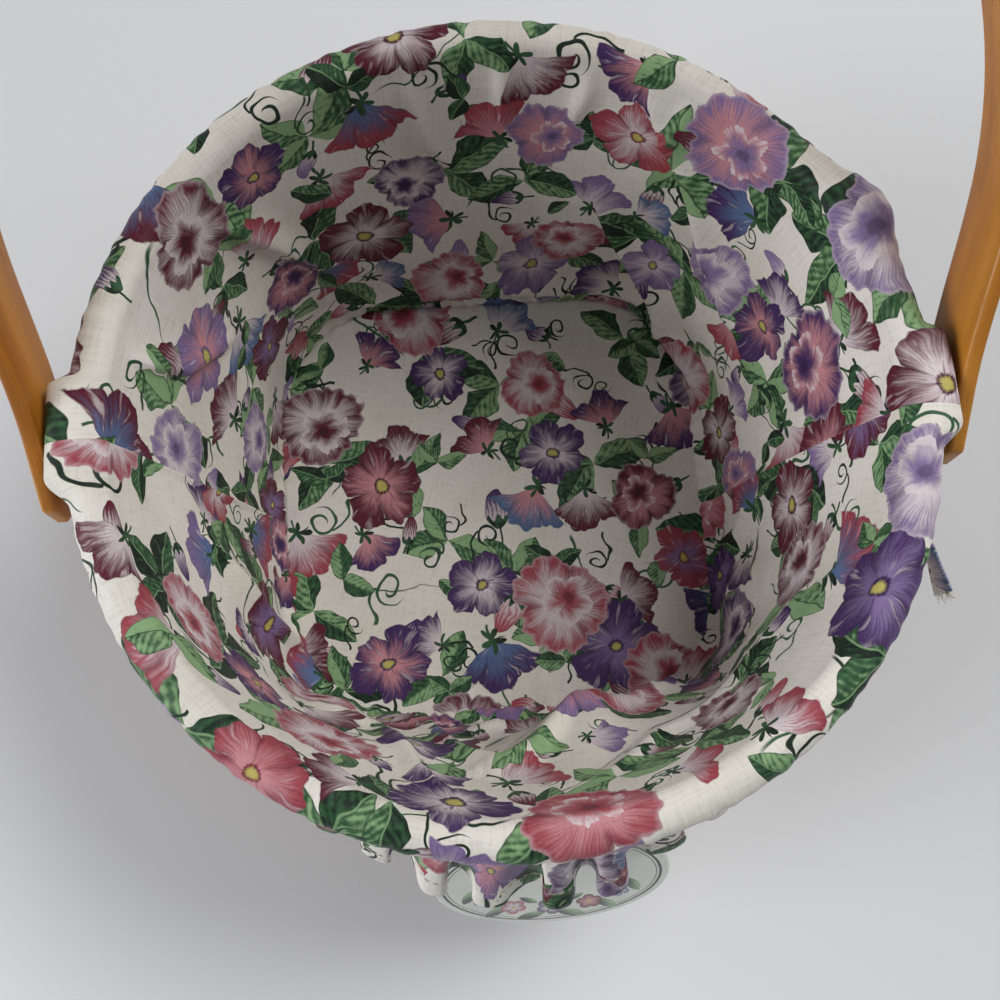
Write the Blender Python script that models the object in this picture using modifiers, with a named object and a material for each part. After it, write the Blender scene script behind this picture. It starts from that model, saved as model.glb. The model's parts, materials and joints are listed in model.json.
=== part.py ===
"""Knitting basket: woven wood splints, a cloth liner with a skirt, a swing handle and a hanging tag."""

import math

import bmesh
import bpy
from mathutils import Vector
from mathutils.geometry import interpolate_bezier

# Woven body, measured at the middle of the splints
RIM_RADIUS = 0.1091
BASE_HALF = 0.086
BASE_CORNER = 0.048
BASKET_HEIGHT = 0.119
SPLINTS_EACH_WAY = 7
SPLINT_PITCH_SHARE = 0.2326
SPLINT_WIDTH = 0.0135
SPLINT_THICKNESS = 0.0012
BEND_RADIUS = 0.004
BEND_STATIONS = 4
WEAVER_ROWS = 7
LACING_MARGIN = 0.0008

# Rim bands
BAND_HEIGHT = 0.016
INNER_BAND_THICKNESS = 0.0018
OUTER_BAND_THICKNESS = 0.002

# Clearances
FIT_GAP = 0.0003
LACING_GAP = 0.00045
BAND_GAP = 0.0004
CUT_OVERRUN = 0.02
MERGE_DISTANCE = 0.00001

# Cloth
CLOTH_THICKNESS = 0.001
LINER_SLACK = 0.0015
LINER_CORNER = 0.046
ROLL_RISE = 0.002
ROLL_CROWN = 0.005
ROLL_PUFF = 0.0007
ROLL_DROP = 0.0046
SWELL_REACH = 0.007
WALL_FOLD_DEPTH = 0.0026
SKIRT_DROP = 0.0301
SKIRT_HEM_STAND = 0.0021
SKIRT_FRONT_FLARE = 0.0112
PLEAT_PITCH = 0.015
PLEAT_TOP_DEPTH = 0.0004
PLEAT_HEM_DEPTH = 0.002
PLEAT_FRONT_DEPTH = 0.003
ELASTIC_WIDTH = 0.005
ELASTIC_THICKNESS = 0.0006

# Handle and the ears that carry it
HANDLE_WIDTH = 0.022
HANDLE_THICKNESS = 0.0045
HANDLE_RISE = 0.186
HANDLE_BOW = 0.0044
HANDLE_TAIL = 0.02
HANDLE_EDGE_ROUND = 0.0009
HANDLE_LEAN = math.radians(50.0)
EAR_WIDTH = 0.02
EAR_DROP = 0.002
EAR_THICKNESS = 0.0064
EAR_EDGE_ROUND = 0.0012
RIVET_RADIUS = 0.0025
RIVET_CLEARANCE = 0.0003
RIVET_HEAD_RADIUS = 0.0045
RIVET_HEAD_THICKNESS = 0.0011
WASHER_RADIUS = 0.005
SPACER_THICKNESS = 0.0022
BURR_THICKNESS = 0.001

# Ties at the handle ends
TIE_WIDTH = 0.009
TIE_THICKNESS = 0.0009
TIE_LENGTH = 0.055
KNOT_RADIUS = 0.0033

# Hanging tag
TAG_WIDTH = 0.072
TAG_HEIGHT = 0.05
TAG_THICKNESS = 0.0036
TAG_EDGE_ROUND = 0.0016
TAG_HOLE_RADIUS = 0.00148
TAG_HOLE_SPACING = 0.024
TAG_HOLE_INSET = 0.0065
TAG_TILT = math.radians(38.0)
TAG_PLACE = (0.0055, -0.1162, 0.0708)
TAG_CORD_DIAMETER = 0.001

# Route of the tag's cord: behind the front upright, out at its edges, through the tag's holes, over its face
TAG_CORD_ROUTE = (
    (0.0, -0.1036, 0.0884),
    (0.0062, -0.1036, 0.0884),
    (0.0082, -0.1048, 0.0884),
    (0.0087, -0.1066, 0.0884),
    (0.0092, -0.1090, 0.0882),
    (0.0104, -0.1110, 0.0866),
    (0.0130, -0.1117, 0.0824),
    (0.0158, -0.1101, 0.0770),
    (0.0171, -0.1089, 0.0724),
    (0.0174, -0.1102, 0.0689),
    (0.0175, -0.1131, 0.0684),
    (0.0175, -0.1162, 0.0708),
    (0.0173, -0.1188, 0.0728),
    (0.0155, -0.1199, 0.0737),
    (0.0110, -0.1200, 0.0736),
    (0.0055, -0.1200, 0.0734),
    (0.0, -0.1200, 0.0736),
    (-0.0045, -0.1199, 0.0737),
    (-0.0063, -0.1188, 0.0728),
    (-0.0065, -0.1162, 0.0708),
    (-0.0065, -0.1131, 0.0684),
    (-0.0066, -0.1102, 0.0689),
    (-0.0069, -0.1089, 0.0724),
    (-0.0076, -0.1101, 0.0770),
    (-0.0085, -0.1117, 0.0824),
    (-0.0091, -0.1110, 0.0866),
    (-0.0090, -0.1090, 0.0882),
    (-0.0087, -0.1066, 0.0884),
    (-0.0082, -0.1048, 0.0884),
    (-0.0062, -0.1036, 0.0884),
)

# Counts, angles and shares that set how finely and in what proportion the shapes are made
ROUND_STEPS = 12
OVAL_STEPS = 28
KNOT_RINGS = 6
CORD_STEPS = 2
ARM_STEPS = 4
ARCH_STEPS = 20
LINER_COLUMNS = 48
ROLL_STEPS = 4
PLEAT_STEPS = 3
WALL_FOLDS = 7
FOLD_LEAN = 2.4
TWIST_STEP = math.radians(4.0)
SHARP_ANGLE = math.radians(35.0)
EDGE_ANGLE = math.radians(40.0)
SWELL_ANGLE = math.radians(26.0)
SWELL_SPREAD = math.radians(6.0)
EAR_FADE_ANGLE = math.radians(10.5)
FLARE_SPREAD = math.radians(22.0)
SEWN_ANGLE = math.radians(11.0)
PLEAT_LEAN_SHARE = 0.22
SIDE_FOLD_SHARE = 0.4
FRONT_FADE_SHARE = 0.45
BACK_FADE_SHARE = 0.2
SEWN_LEAN_SHARE = 0.5
LINER_HEIGHT_SHARES = (0.0, 0.25, 0.5, 0.75, 1.0)
SKIRT_FALL_SHARES = (0.0, 0.36, 0.7, 1.0)
FREE_END_SHARES = (
    (0.0, 0.0, 0.0),
    (0.03, 0.22, 0.0),
    (0.07, 0.44, 0.0),
    (0.13, 0.66, 0.03),
    (0.23, 0.97, 0.14),
)
HANGING_END_SHARES = (
    (0.0, 0.0, 0.0),
    (0.0, 0.15, 0.08),
    (-0.02, 0.25, 0.3),
    (-0.04, 0.3, 0.55),
)

# Places worked out from the sizes above
UPRIGHTS = 4 * SPLINTS_EACH_WAY
UPRIGHT_ANGLE = 2 * math.pi / UPRIGHTS
SPLINT_PITCH = SPLINT_PITCH_SHARE * BASE_HALF
BASE_STRAIGHT = BASE_HALF - BASE_CORNER
LOWER_LAYER = SPLINT_THICKNESS / 2
UPPER_LAYER = LOWER_LAYER + SPLINT_THICKNESS + LACING_GAP
LATTICE_TOP = UPPER_LAYER + SPLINT_THICKNESS / 2
WALL_FOOT = UPPER_LAYER + BEND_RADIUS
BAND_FOOT = BASKET_HEIGHT - BAND_HEIGHT
UPRIGHT_TOP = BASKET_HEIGHT - FIT_GAP
WEAVER_OFFSET = SPLINT_THICKNESS + LACING_GAP
WEAVE_HALF_DEPTH = WEAVER_OFFSET + SPLINT_THICKNESS / 2
ROW_GAP = TAG_CORD_DIAMETER + 2 * BAND_GAP
WEAVE_FOOT = WALL_FOOT + ROW_GAP / 2
ROW_PITCH = (BAND_FOOT - WEAVE_FOOT) / WEAVER_ROWS
OUTER_BAND_IN = RIM_RADIUS + SPLINT_THICKNESS / 2 + BAND_GAP
OUTER_BAND_OUT = OUTER_BAND_IN + OUTER_BAND_THICKNESS
INNER_BAND_OUT = RIM_RADIUS - SPLINT_THICKNESS / 2 - BAND_GAP
INNER_BAND_IN = INNER_BAND_OUT - INNER_BAND_THICKNESS
PIVOT_HEIGHT = BAND_FOOT + BAND_HEIGHT / 2
BORE_RADIUS = RIVET_RADIUS + RIVET_CLEARANCE
EAR_IN = OUTER_BAND_OUT + FIT_GAP
EAR_OUT = EAR_IN + EAR_THICKNESS
SPACER_IN = EAR_OUT + FIT_GAP
HANDLE_IN = SPACER_IN + SPACER_THICKNESS + FIT_GAP
HANDLE_OUT = HANDLE_IN + HANDLE_THICKNESS
BURR_OUT = HANDLE_OUT + FIT_GAP + BURR_THICKNESS
RIVET_HEAD_IN = INNER_BAND_IN - FIT_GAP - RIVET_HEAD_THICKNESS
LINER_FLOOR_Z = LATTICE_TOP + FIT_GAP
LINER_HALF = BASE_HALF - WEAVE_HALF_DEPTH - LINER_SLACK - CLOTH_THICKNESS
LINER_LEG = INNER_BAND_IN - FIT_GAP - CLOTH_THICKNESS
LINER_AT_RIVET = RIVET_HEAD_IN - FIT_GAP - CLOTH_THICKNESS
SKIRT_IN = OUTER_BAND_OUT + ELASTIC_THICKNESS + 2 * FIT_GAP
SKIRT_OUT = SKIRT_IN + CLOTH_THICKNESS + PLEAT_TOP_DEPTH
ROLL_OUT = SKIRT_IN + CLOTH_THICKNESS + ROLL_PUFF
ROLL_SPRING = BASKET_HEIGHT + ROLL_RISE
ROLL_FOOT = ROLL_SPRING - ROLL_DROP
SKIRT_TOP = ROLL_FOOT - FIT_GAP
LINER_TURN = PIVOT_HEIGHT + RIVET_HEAD_RADIUS
EAR_COVER = EAR_OUT + FIT_GAP + CLOTH_THICKNESS
EAR_FOOT = BAND_FOOT - EAR_DROP
SLIT_HALF = EAR_WIDTH / 2 + LINER_SLACK

# Outward and sideways directions of the basket's four sides: front, right, back, left
SIDES = (
    (Vector((0, -1, 0)), Vector((1, 0, 0))),
    (Vector((1, 0, 0)), Vector((0, 1, 0))),
    (Vector((0, 1, 0)), Vector((-1, 0, 0))),
    (Vector((-1, 0, 0)), Vector((0, -1, 0))),
)
FRONT, LEFT = 0, 3
UP = Vector((0, 0, 1))


def clear_scene():
    for item in list(bpy.data.objects):
        bpy.data.objects.remove(item, do_unlink=True)


def make_collection(name):
    group = bpy.data.collections.new(name)
    bpy.context.scene.collection.children.link(group)
    return group


def make_finish(name, colour, roughness, metallic=0.0):
    finish = bpy.data.materials.new(name)
    finish.use_nodes = True
    shader = finish.node_tree.nodes["Principled BSDF"]
    shader.inputs["Base Color"].default_value = (*colour, 1.0)
    shader.inputs["Roughness"].default_value = roughness
    shader.inputs["Metallic"].default_value = metallic
    return finish


def blend(low, high, share):
    return low + (high - low) * share


def smooth(share):
    held = min(max(share, 0.0), 1.0)
    return held * held * (3 - 2 * held)


def add_mesh(name, mesh, finish):
    item = bpy.data.objects.new(name, mesh)
    item.data.materials.append(finish)
    PARTS.objects.link(item)
    mesh.shade_smooth()
    mesh.set_sharp_from_angle(angle=SHARP_ANGLE)
    return item


def sheet_part(name, rows, thickness, finish, closed=False, centred=True):
    """A grid of points as a thickened surface; closed joins the last row to the first."""
    mesh = bpy.data.meshes.new(name)
    work = bmesh.new()
    corners = [[work.verts.new(point) for point in row] for row in rows]
    pairs = list(zip(corners, corners[1:]))
    if closed:
        pairs.append((corners[-1], corners[0]))
    for near, far in pairs:
        for k in range(len(near) - 1):
            work.faces.new((near[k], far[k], far[k + 1], near[k + 1]))
    work.to_mesh(mesh)
    work.free()
    item = add_mesh(name, mesh, finish)
    shell = item.modifiers.new("thickness", "SOLIDIFY")
    shell.thickness = thickness
    shell.offset = 0.0 if centred else 1.0
    shell.use_even_offset = True
    return item


def drill(item, cutter):
    cut = item.modifiers.new("bore", "BOOLEAN")
    cut.operation = "DIFFERENCE"
    cut.object = cutter


def round_edges(item, width, segments=1):
    bevel = item.modifiers.new("edges", "BEVEL")
    bevel.width = width
    bevel.segments = segments
    bevel.limit_method = "ANGLE"
    bevel.angle_limit = EDGE_ANGLE


def wall_share(height):
    return min(max((height - WALL_FOOT) / (BAND_FOOT - WALL_FOOT), 0.0), 1.0)


def base_outline(along):
    """Distance of the base's edge from the centre line, and its turn, at a distance along one side."""
    past = max(abs(along) - BASE_STRAIGHT, 0.0)
    reach = BASE_STRAIGHT + math.sqrt(BASE_CORNER**2 - past**2)
    return reach, math.copysign(math.asin(past / BASE_CORNER), along)


def upright_frame(side, index, height):
    """Centre, sideways direction and outward direction of an upright at a height on the wall."""
    outward, sideways = SIDES[side]
    along = index * SPLINT_PITCH
    reach, base_turn = base_outline(along)
    turn_at_rim = index * UPRIGHT_ANGLE
    share = wall_share(height)
    out = blend(reach, RIM_RADIUS * math.cos(turn_at_rim), share)
    across = blend(along, RIM_RADIUS * math.sin(turn_at_rim), share)
    turn = blend(base_turn, turn_at_rim, share)
    centre = outward * out + sideways * across + UP * height
    tangent = sideways * math.cos(turn) - outward * math.sin(turn)
    normal = outward * math.cos(turn) + sideways * math.sin(turn)
    return centre, tangent, normal


def edge_pair(centre, tangent, width):
    return [centre - tangent * (width / 2), centre + tangent * (width / 2)]


def climb(side, index, layer):
    """Edge points of a splint from the bend at the base up to the rim."""
    outward, sideways = SIDES[side]
    along = index * SPLINT_PITCH
    reach, base_turn = base_outline(along)
    rim_turn = index * UPRIGHT_ANGLE
    pairs = []
    for step in range(BEND_STATIONS):
        share = step / BEND_STATIONS
        angle = share * math.pi / 2
        turn = base_turn * share
        out = reach - BEND_RADIUS * (1 - math.sin(angle))
        height = layer + BEND_RADIUS * (1 - math.cos(angle))
        centre = outward * out + sideways * along + UP * height
        tangent = sideways * math.cos(turn) - outward * math.sin(turn)
        pairs.append(edge_pair(centre, tangent, SPLINT_WIDTH))
    steps = 1 + math.ceil(abs(rim_turn - base_turn) / TWIST_STEP)
    heights = [blend(WALL_FOOT, BAND_FOOT, step / steps) for step in range(steps + 1)]
    for height in [*heights, UPRIGHT_TOP]:
        centre, tangent, _ = upright_frame(side, index, height)
        pairs.append(edge_pair(centre, tangent, SPLINT_WIDTH))
    return pairs


def splint(name, start_side, index, finish):
    """One splint: down one wall, over and under across the base, and up the opposite wall."""
    outward, sideways = SIDES[start_side]
    far_side = (start_side + 2) % 4
    reach = SPLINTS_EACH_WAY // 2
    flat_half = SPLINT_WIDTH / 2 + LACING_MARGIN
    crossings = []
    layers = []
    for j in range(-reach, reach + 1):
        over = (index + j + start_side) % 2 == 0
        layer = UPPER_LAYER if over else LOWER_LAYER
        layers.append(layer)
        for end in (-flat_half, flat_half):
            centre = sideways * (index * SPLINT_PITCH) - outward * (j * SPLINT_PITCH + end) + UP * layer
            crossings.append(edge_pair(centre, sideways, SPLINT_WIDTH))
    near = climb(start_side, index, layers[0])
    far = [pair[::-1] for pair in climb(far_side, -index, layers[-1])]
    return sheet_part(name, near[::-1] + crossings + far, SPLINT_THICKNESS, finish)


def weaver(name, row, finish):
    """One closed ring, laced in and out of the uprights, opposite to the rows above and below."""
    foot = WEAVE_FOOT + row * ROW_PITCH
    top = foot + ROW_PITCH - ROW_GAP
    reach = SPLINTS_EACH_WAY // 2
    stations = []
    count = 0
    for side in range(4):
        for index in range(-reach, reach + 1):
            offset = WEAVER_OFFSET if (count + row) % 2 == 0 else -WEAVER_OFFSET
            for end in (-1, 1):
                pair = []
                for height in (foot, top):
                    centre, tangent, normal = upright_frame(side, index, height)
                    half = SPLINT_WIDTH / 2 + LACING_MARGIN
                    pair.append(centre + tangent * (end * half) + normal * offset)
                stations.append(pair)
            count += 1
    return sheet_part(name, stations, SPLINT_THICKNESS, finish, closed=True)


def band(name, inner, thickness, finish):
    """A hoop whose flats lie against the uprights."""
    sides = 2 * UPRIGHTS
    radius = (inner + thickness / 2) / math.cos(math.pi / sides)
    stations = []
    for k in range(sides):
        angle = (k + 0.5) * 2 * math.pi / sides
        spot = Vector((math.cos(angle), math.sin(angle), 0)) * radius
        stations.append([spot + UP * BAND_FOOT, spot + UP * BASKET_HEIGHT])
    return sheet_part(name, stations, thickness, finish, closed=True)


def square_radius(angle, half, corner):
    """Distance from the centre to a rounded square's edge in a direction."""
    turn = abs((angle + math.pi / 4) % (math.pi / 2) - math.pi / 4)
    straight = half - corner
    if half * math.tan(turn) <= straight:
        return half / math.cos(turn)
    along = straight * (math.cos(turn) + math.sin(turn))
    across = straight * (math.cos(turn) - math.sin(turn))
    return along + math.sqrt(corner**2 - across**2)


def roll_reach(angle):
    """Outer radius of the liner's roll: it covers the ears, and swells out beside the right one."""
    place = ROLL_OUT * math.sin(angle)
    fade = EAR_WIDTH * (BACK_FADE_SHARE if place > 0 else FRONT_FADE_SHARE)
    lift = smooth(1 - (abs(place) - SLIT_HALF) / fade)
    swell = SWELL_REACH * math.exp(-(((angle - SWELL_ANGLE) / SWELL_SPREAD) ** 2))
    covered = EAR_COVER / abs(math.cos(angle))
    return blend(ROLL_OUT, covered, lift) + swell


def liner_fold(angle, share):
    """Inward fold of the wall at a share of its height, deepest on the front."""
    wave = (1 + math.sin(WALL_FOLDS * angle + FOLD_LEAN * share)) / 2
    front = blend(SIDE_FOLD_SHARE, 1.0, smooth(-math.sin(angle)))
    return WALL_FOLD_DEPTH * wave * front * math.sin(math.pi * share) ** 2


def liner_angles():
    """Directions of the liner's columns: even steps, with more at the ears."""
    even = [k * 2 * math.pi / LINER_COLUMNS for k in range(LINER_COLUMNS)]
    edge = math.asin(SLIT_HALF / ROLL_OUT)
    turns = (-EAR_FADE_ANGLE, -edge, edge, EAR_FADE_ANGLE)
    extra = [pole + turn for pole in (0, math.pi) for turn in turns]
    return sorted(angle % (2 * math.pi) for angle in even + extra)


def liner_wall(finish):
    """The lining from the floor seam up the wall, over the rim's roll and down to the skirt seam."""
    columns = []
    for angle in liner_angles():
        spot = Vector((math.cos(angle), math.sin(angle), 0))
        base = square_radius(angle, LINER_HALF, LINER_CORNER)
        column = []
        for share in LINER_HEIGHT_SHARES:
            height = blend(LINER_FLOOR_Z, LINER_TURN, share)
            radius = blend(base, LINER_AT_RIVET, share) - liner_fold(angle, share)
            column.append(spot * radius + UP * height)
        reach = roll_reach(angle)
        middle = (LINER_LEG + reach) / 2
        for step in range(ROLL_STEPS + 1):
            turn = math.pi * step / ROLL_STEPS
            radius = middle - (reach - middle) * math.cos(turn)
            column.append(spot * radius + UP * (ROLL_SPRING + ROLL_CROWN * math.sin(turn)))
        column.append(spot * reach + UP * ROLL_FOOT)
        columns.append(column)
    return sheet_part("liner_wall", columns, CLOTH_THICKNESS, finish, closed=True, centred=False)


def liner_floor(finish):
    """The bottom panel, a rounded square that ends just inside the wall."""
    outline = bpy.data.curves.new("liner_floor", "CURVE")
    outline.dimensions = "2D"
    outline.fill_mode = "BOTH"
    outline.extrude = CLOTH_THICKNESS / 2
    spline = outline.splines.new("POLY")
    spline.points.add(LINER_COLUMNS - 1)
    for k, point in enumerate(spline.points):
        angle = k * 2 * math.pi / LINER_COLUMNS
        radius = square_radius(angle, LINER_HALF, LINER_CORNER) - FIT_GAP
        point.co = (radius * math.cos(angle), radius * math.sin(angle), 0, 1)
    spline.use_cyclic_u = True
    item = bpy.data.objects.new("liner_floor", outline)
    item.location.z = LINER_FLOOR_Z + CLOTH_THICKNESS / 2
    outline.materials.append(finish)
    PARTS.objects.link(item)
    return item


def skirt(name, start, finish):
    """Half of the gathered skirt: pleats that are shallow at the elastic and full at the hem."""
    edge = math.asin(SLIT_HALF / SKIRT_OUT)
    first = start + edge
    sweep = math.pi - 2 * edge
    pleats = round(sweep * SKIRT_OUT / PLEAT_PITCH)
    steps = pleats * PLEAT_STEPS
    columns = []
    for k in range(steps + 1):
        share = k / steps
        angle = first + sweep * share
        phase = 2 * math.pi * pleats * share
        front = math.exp(-(((angle + math.pi / 2) / FLARE_SPREAD) ** 2))
        column = []
        for fall in SKIRT_FALL_SHARES:
            spread = fall**2
            stand = spread * (SKIRT_HEM_STAND + SKIRT_FRONT_FLARE * front)
            depth = blend(PLEAT_TOP_DEPTH, PLEAT_HEM_DEPTH + PLEAT_FRONT_DEPTH * front, spread)
            lean = PLEAT_LEAN_SHARE * spread * (PLEAT_PITCH / SKIRT_OUT) * math.sin(2 * phase)
            radius = SKIRT_OUT + stand + depth * math.sin(phase)
            turn = angle + lean * math.sin(math.pi * share)
            height = SKIRT_TOP - fall * SKIRT_DROP
            column.append(Vector((math.cos(turn) * radius, math.sin(turn) * radius, height)))
        columns.append(column)
    return sheet_part(name, columns, CLOTH_THICKNESS, finish, centred=False)


def elastic(name, start, finish):
    edge = math.asin(SLIT_HALF / OUTER_BAND_OUT)
    radius = OUTER_BAND_OUT + FIT_GAP + ELASTIC_THICKNESS / 2
    foot = BAND_FOOT + ELASTIC_WIDTH / 4
    stations = []
    for k in range(UPRIGHTS + 1):
        angle = start + edge + (math.pi - 2 * edge) * k / UPRIGHTS
        spot = Vector((math.cos(angle), math.sin(angle), 0)) * (radius / math.cos(math.pi / UPRIGHTS / 2))
        stations.append([spot + UP * foot, spot + UP * (foot + ELASTIC_WIDTH)])
    return sheet_part(name, stations, ELASTIC_THICKNESS, finish)


def bore_cutter():
    """A long bar on the handle's axis that drills every piece that the rivets pass through."""
    length = 2 * (BURR_OUT + CUT_OVERRUN)
    bpy.ops.mesh.primitive_cylinder_add(vertices=ROUND_STEPS, radius=BORE_RADIUS, depth=length)
    bar = bpy.context.object
    bar.name = "rivet_bore"
    bar.rotation_euler.y = math.pi / 2
    bar.location.z = PIVOT_HEIGHT
    for group in bar.users_collection:
        group.objects.unlink(bar)
    CUTTERS.objects.link(bar)
    bar.hide_render = True
    bar.display_type = "WIRE"
    return bar


def ear(name, sign, cutter, finish):
    mesh = bpy.data.meshes.new(name)
    work = bmesh.new()
    bmesh.ops.create_cube(work, size=1.0)
    bmesh.ops.scale(work, vec=(EAR_THICKNESS, EAR_WIDTH, BASKET_HEIGHT - EAR_FOOT), verts=work.verts)
    work.to_mesh(mesh)
    work.free()
    item = add_mesh(name, mesh, finish)
    item.location = (sign * (EAR_IN + EAR_OUT) / 2, 0, (BASKET_HEIGHT + EAR_FOOT) / 2)
    round_edges(item, EAR_EDGE_ROUND)
    drill(item, cutter)
    return item


def turned(name, profile, sign, finish, closed=False):
    """A turned piece on the handle's axis, from a profile of radii and places along X."""
    mesh = bpy.data.meshes.new(name)
    work = bmesh.new()
    corners = [work.verts.new((radius, 0, place)) for radius, place in profile]
    for near, far in zip(corners, corners[1:]):
        work.edges.new((near, far))
    if closed:
        work.edges.new((corners[-1], corners[0]))
    work.to_mesh(mesh)
    work.free()
    item = add_mesh(name, mesh, finish)
    item.location.z = PIVOT_HEIGHT
    item.rotation_euler.y = sign * math.pi / 2
    spin = item.modifiers.new("turn", "SCREW")
    spin.steps = ROUND_STEPS
    spin.render_steps = ROUND_STEPS
    spin.use_merge_vertices = True
    spin.merge_threshold = MERGE_DISTANCE
    return item


def washer(name, inner_face, outer_face, sign, finish):
    profile = (
        (WASHER_RADIUS, outer_face),
        (WASHER_RADIUS, inner_face),
        (BORE_RADIUS, inner_face),
        (BORE_RADIUS, outer_face),
    )
    return turned(name, profile, sign, finish, closed=True)


def rivet(name, sign, finish):
    """Flat head inside the inner band, shank through the stack, and a peened dome over the burr washer."""
    dome = RIVET_RADIUS + (RIVET_HEAD_RADIUS - RIVET_RADIUS) / 2
    seat = BURR_OUT + FIT_GAP
    profile = (
        (0, seat + RIVET_HEAD_THICKNESS),
        (dome / 2, seat + RIVET_HEAD_THICKNESS),
        (dome, seat + RIVET_HEAD_THICKNESS / 2),
        (dome, seat),
        (RIVET_RADIUS, seat),
        (RIVET_RADIUS, RIVET_HEAD_IN + RIVET_HEAD_THICKNESS),
        (RIVET_HEAD_RADIUS, RIVET_HEAD_IN + RIVET_HEAD_THICKNESS),
        (RIVET_HEAD_RADIUS, RIVET_HEAD_IN),
        (0, RIVET_HEAD_IN),
    )
    return turned(name, profile, sign, finish)


def handle(cutter, finish):
    """A bent band: straight tails at the rivets, arms that bow out, and a half-round top."""
    middle = HANDLE_IN + HANDLE_THICKNESS / 2
    arch = middle + HANDLE_BOW
    spring = HANDLE_RISE + HANDLE_THICKNESS / 2 - arch
    clip = HANDLE_WIDTH / 4
    arm = [(middle, -HANDLE_TAIL, HANDLE_WIDTH - 2 * clip)]
    arm.append((middle, clip - HANDLE_TAIL, HANDLE_WIDTH))
    arm.append((middle, WASHER_RADIUS, HANDLE_WIDTH))
    for step in range(1, ARM_STEPS + 1):
        share = step / ARM_STEPS
        rise = blend(WASHER_RADIUS, spring, share)
        arm.append((middle + HANDLE_BOW * smooth(share), rise, HANDLE_WIDTH))
    outline = [(out, rise, width) for out, rise, width in arm]
    for step in range(1, ARCH_STEPS):
        angle = math.pi * step / ARCH_STEPS
        outline.append((arch * math.cos(angle), spring + arch * math.sin(angle), HANDLE_WIDTH))
    outline += [(-out, rise, width) for out, rise, width in arm[::-1]]
    stations = []
    for out, rise, width in outline:
        spot = Vector((out, 0, rise))
        stations.append([spot - Vector((0, width / 2, 0)), spot + Vector((0, width / 2, 0))])
    item = sheet_part("handle", stations, HANDLE_THICKNESS, finish)
    item.location.z = PIVOT_HEIGHT
    item.rotation_euler.x = -HANDLE_LEAN
    round_edges(item, HANDLE_EDGE_ROUND)
    drill(item, cutter)
    return item


def ring_points(spline, centre, half_width, half_height, count):
    spline.points.add(count - 1)
    for k, point in enumerate(spline.points):
        angle = 2 * math.pi * k / count
        point.co = (centre[0] + half_width * math.cos(angle), centre[1] + half_height * math.sin(angle), 0, 1)
    spline.use_cyclic_u = True


def tag(finish):
    """An oval plate with rounded edges and two holes, whose origin is midway between the holes."""
    outline = bpy.data.curves.new("tag", "CURVE")
    outline.dimensions = "2D"
    outline.fill_mode = "BOTH"
    outline.extrude = TAG_THICKNESS / 2 - TAG_EDGE_ROUND
    outline.bevel_depth = TAG_EDGE_ROUND
    outline.bevel_resolution = 1
    centre = (0, TAG_HOLE_INSET - TAG_HEIGHT / 2)
    half_width = TAG_WIDTH / 2 - TAG_EDGE_ROUND
    half_height = TAG_HEIGHT / 2 - TAG_EDGE_ROUND
    ring_points(outline.splines.new("POLY"), centre, half_width, half_height, OVAL_STEPS)
    rim = TAG_HOLE_RADIUS + TAG_EDGE_ROUND
    for sign in (-1, 1):
        place = (sign * TAG_HOLE_SPACING / 2, 0)
        ring_points(outline.splines.new("POLY"), place, rim, rim, ROUND_STEPS)
    item = bpy.data.objects.new("tag", outline)
    item.location = TAG_PLACE
    item.rotation_euler.x = math.pi / 2 - TAG_TILT
    outline.materials.append(finish)
    PARTS.objects.link(item)
    return item


def closed_curve_points(route, steps):
    """Points on a smooth closed curve through a route's own points."""
    knots = [Vector(point) for point in route]
    count = len(knots)
    points = []
    for k in range(count):
        before, start, end, after = (knots[(k + shift) % count] for shift in (-1, 0, 1, 2))
        out_handle = start + (end - before) / 6
        in_handle = end - (after - start) / 6
        points += interpolate_bezier(start, out_handle, in_handle, end, steps + 1)[:-1]
    return points


def tag_cord(finish):
    line = bpy.data.curves.new("tag_cord", "CURVE")
    line.dimensions = "3D"
    line.bevel_depth = TAG_CORD_DIAMETER / 2
    line.bevel_resolution = 1
    line.use_fill_caps = True
    points = closed_curve_points(TAG_CORD_ROUTE, CORD_STEPS)
    spline = line.splines.new("POLY")
    spline.points.add(len(points) - 1)
    for point, place in zip(spline.points, points):
        point.co = (*place, 1)
    spline.use_cyclic_u = True
    item = bpy.data.objects.new("tag_cord", line)
    line.materials.append(finish)
    PARTS.objects.link(item)
    return item


def ribbon(name, path, width, finish):
    """A flat tie that stands on edge along its path."""
    rows = [[Vector(point) - UP * (width / 2), Vector(point) + UP * (width / 2)] for point in path]
    return sheet_part(name, rows, TIE_THICKNESS, finish)


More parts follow.
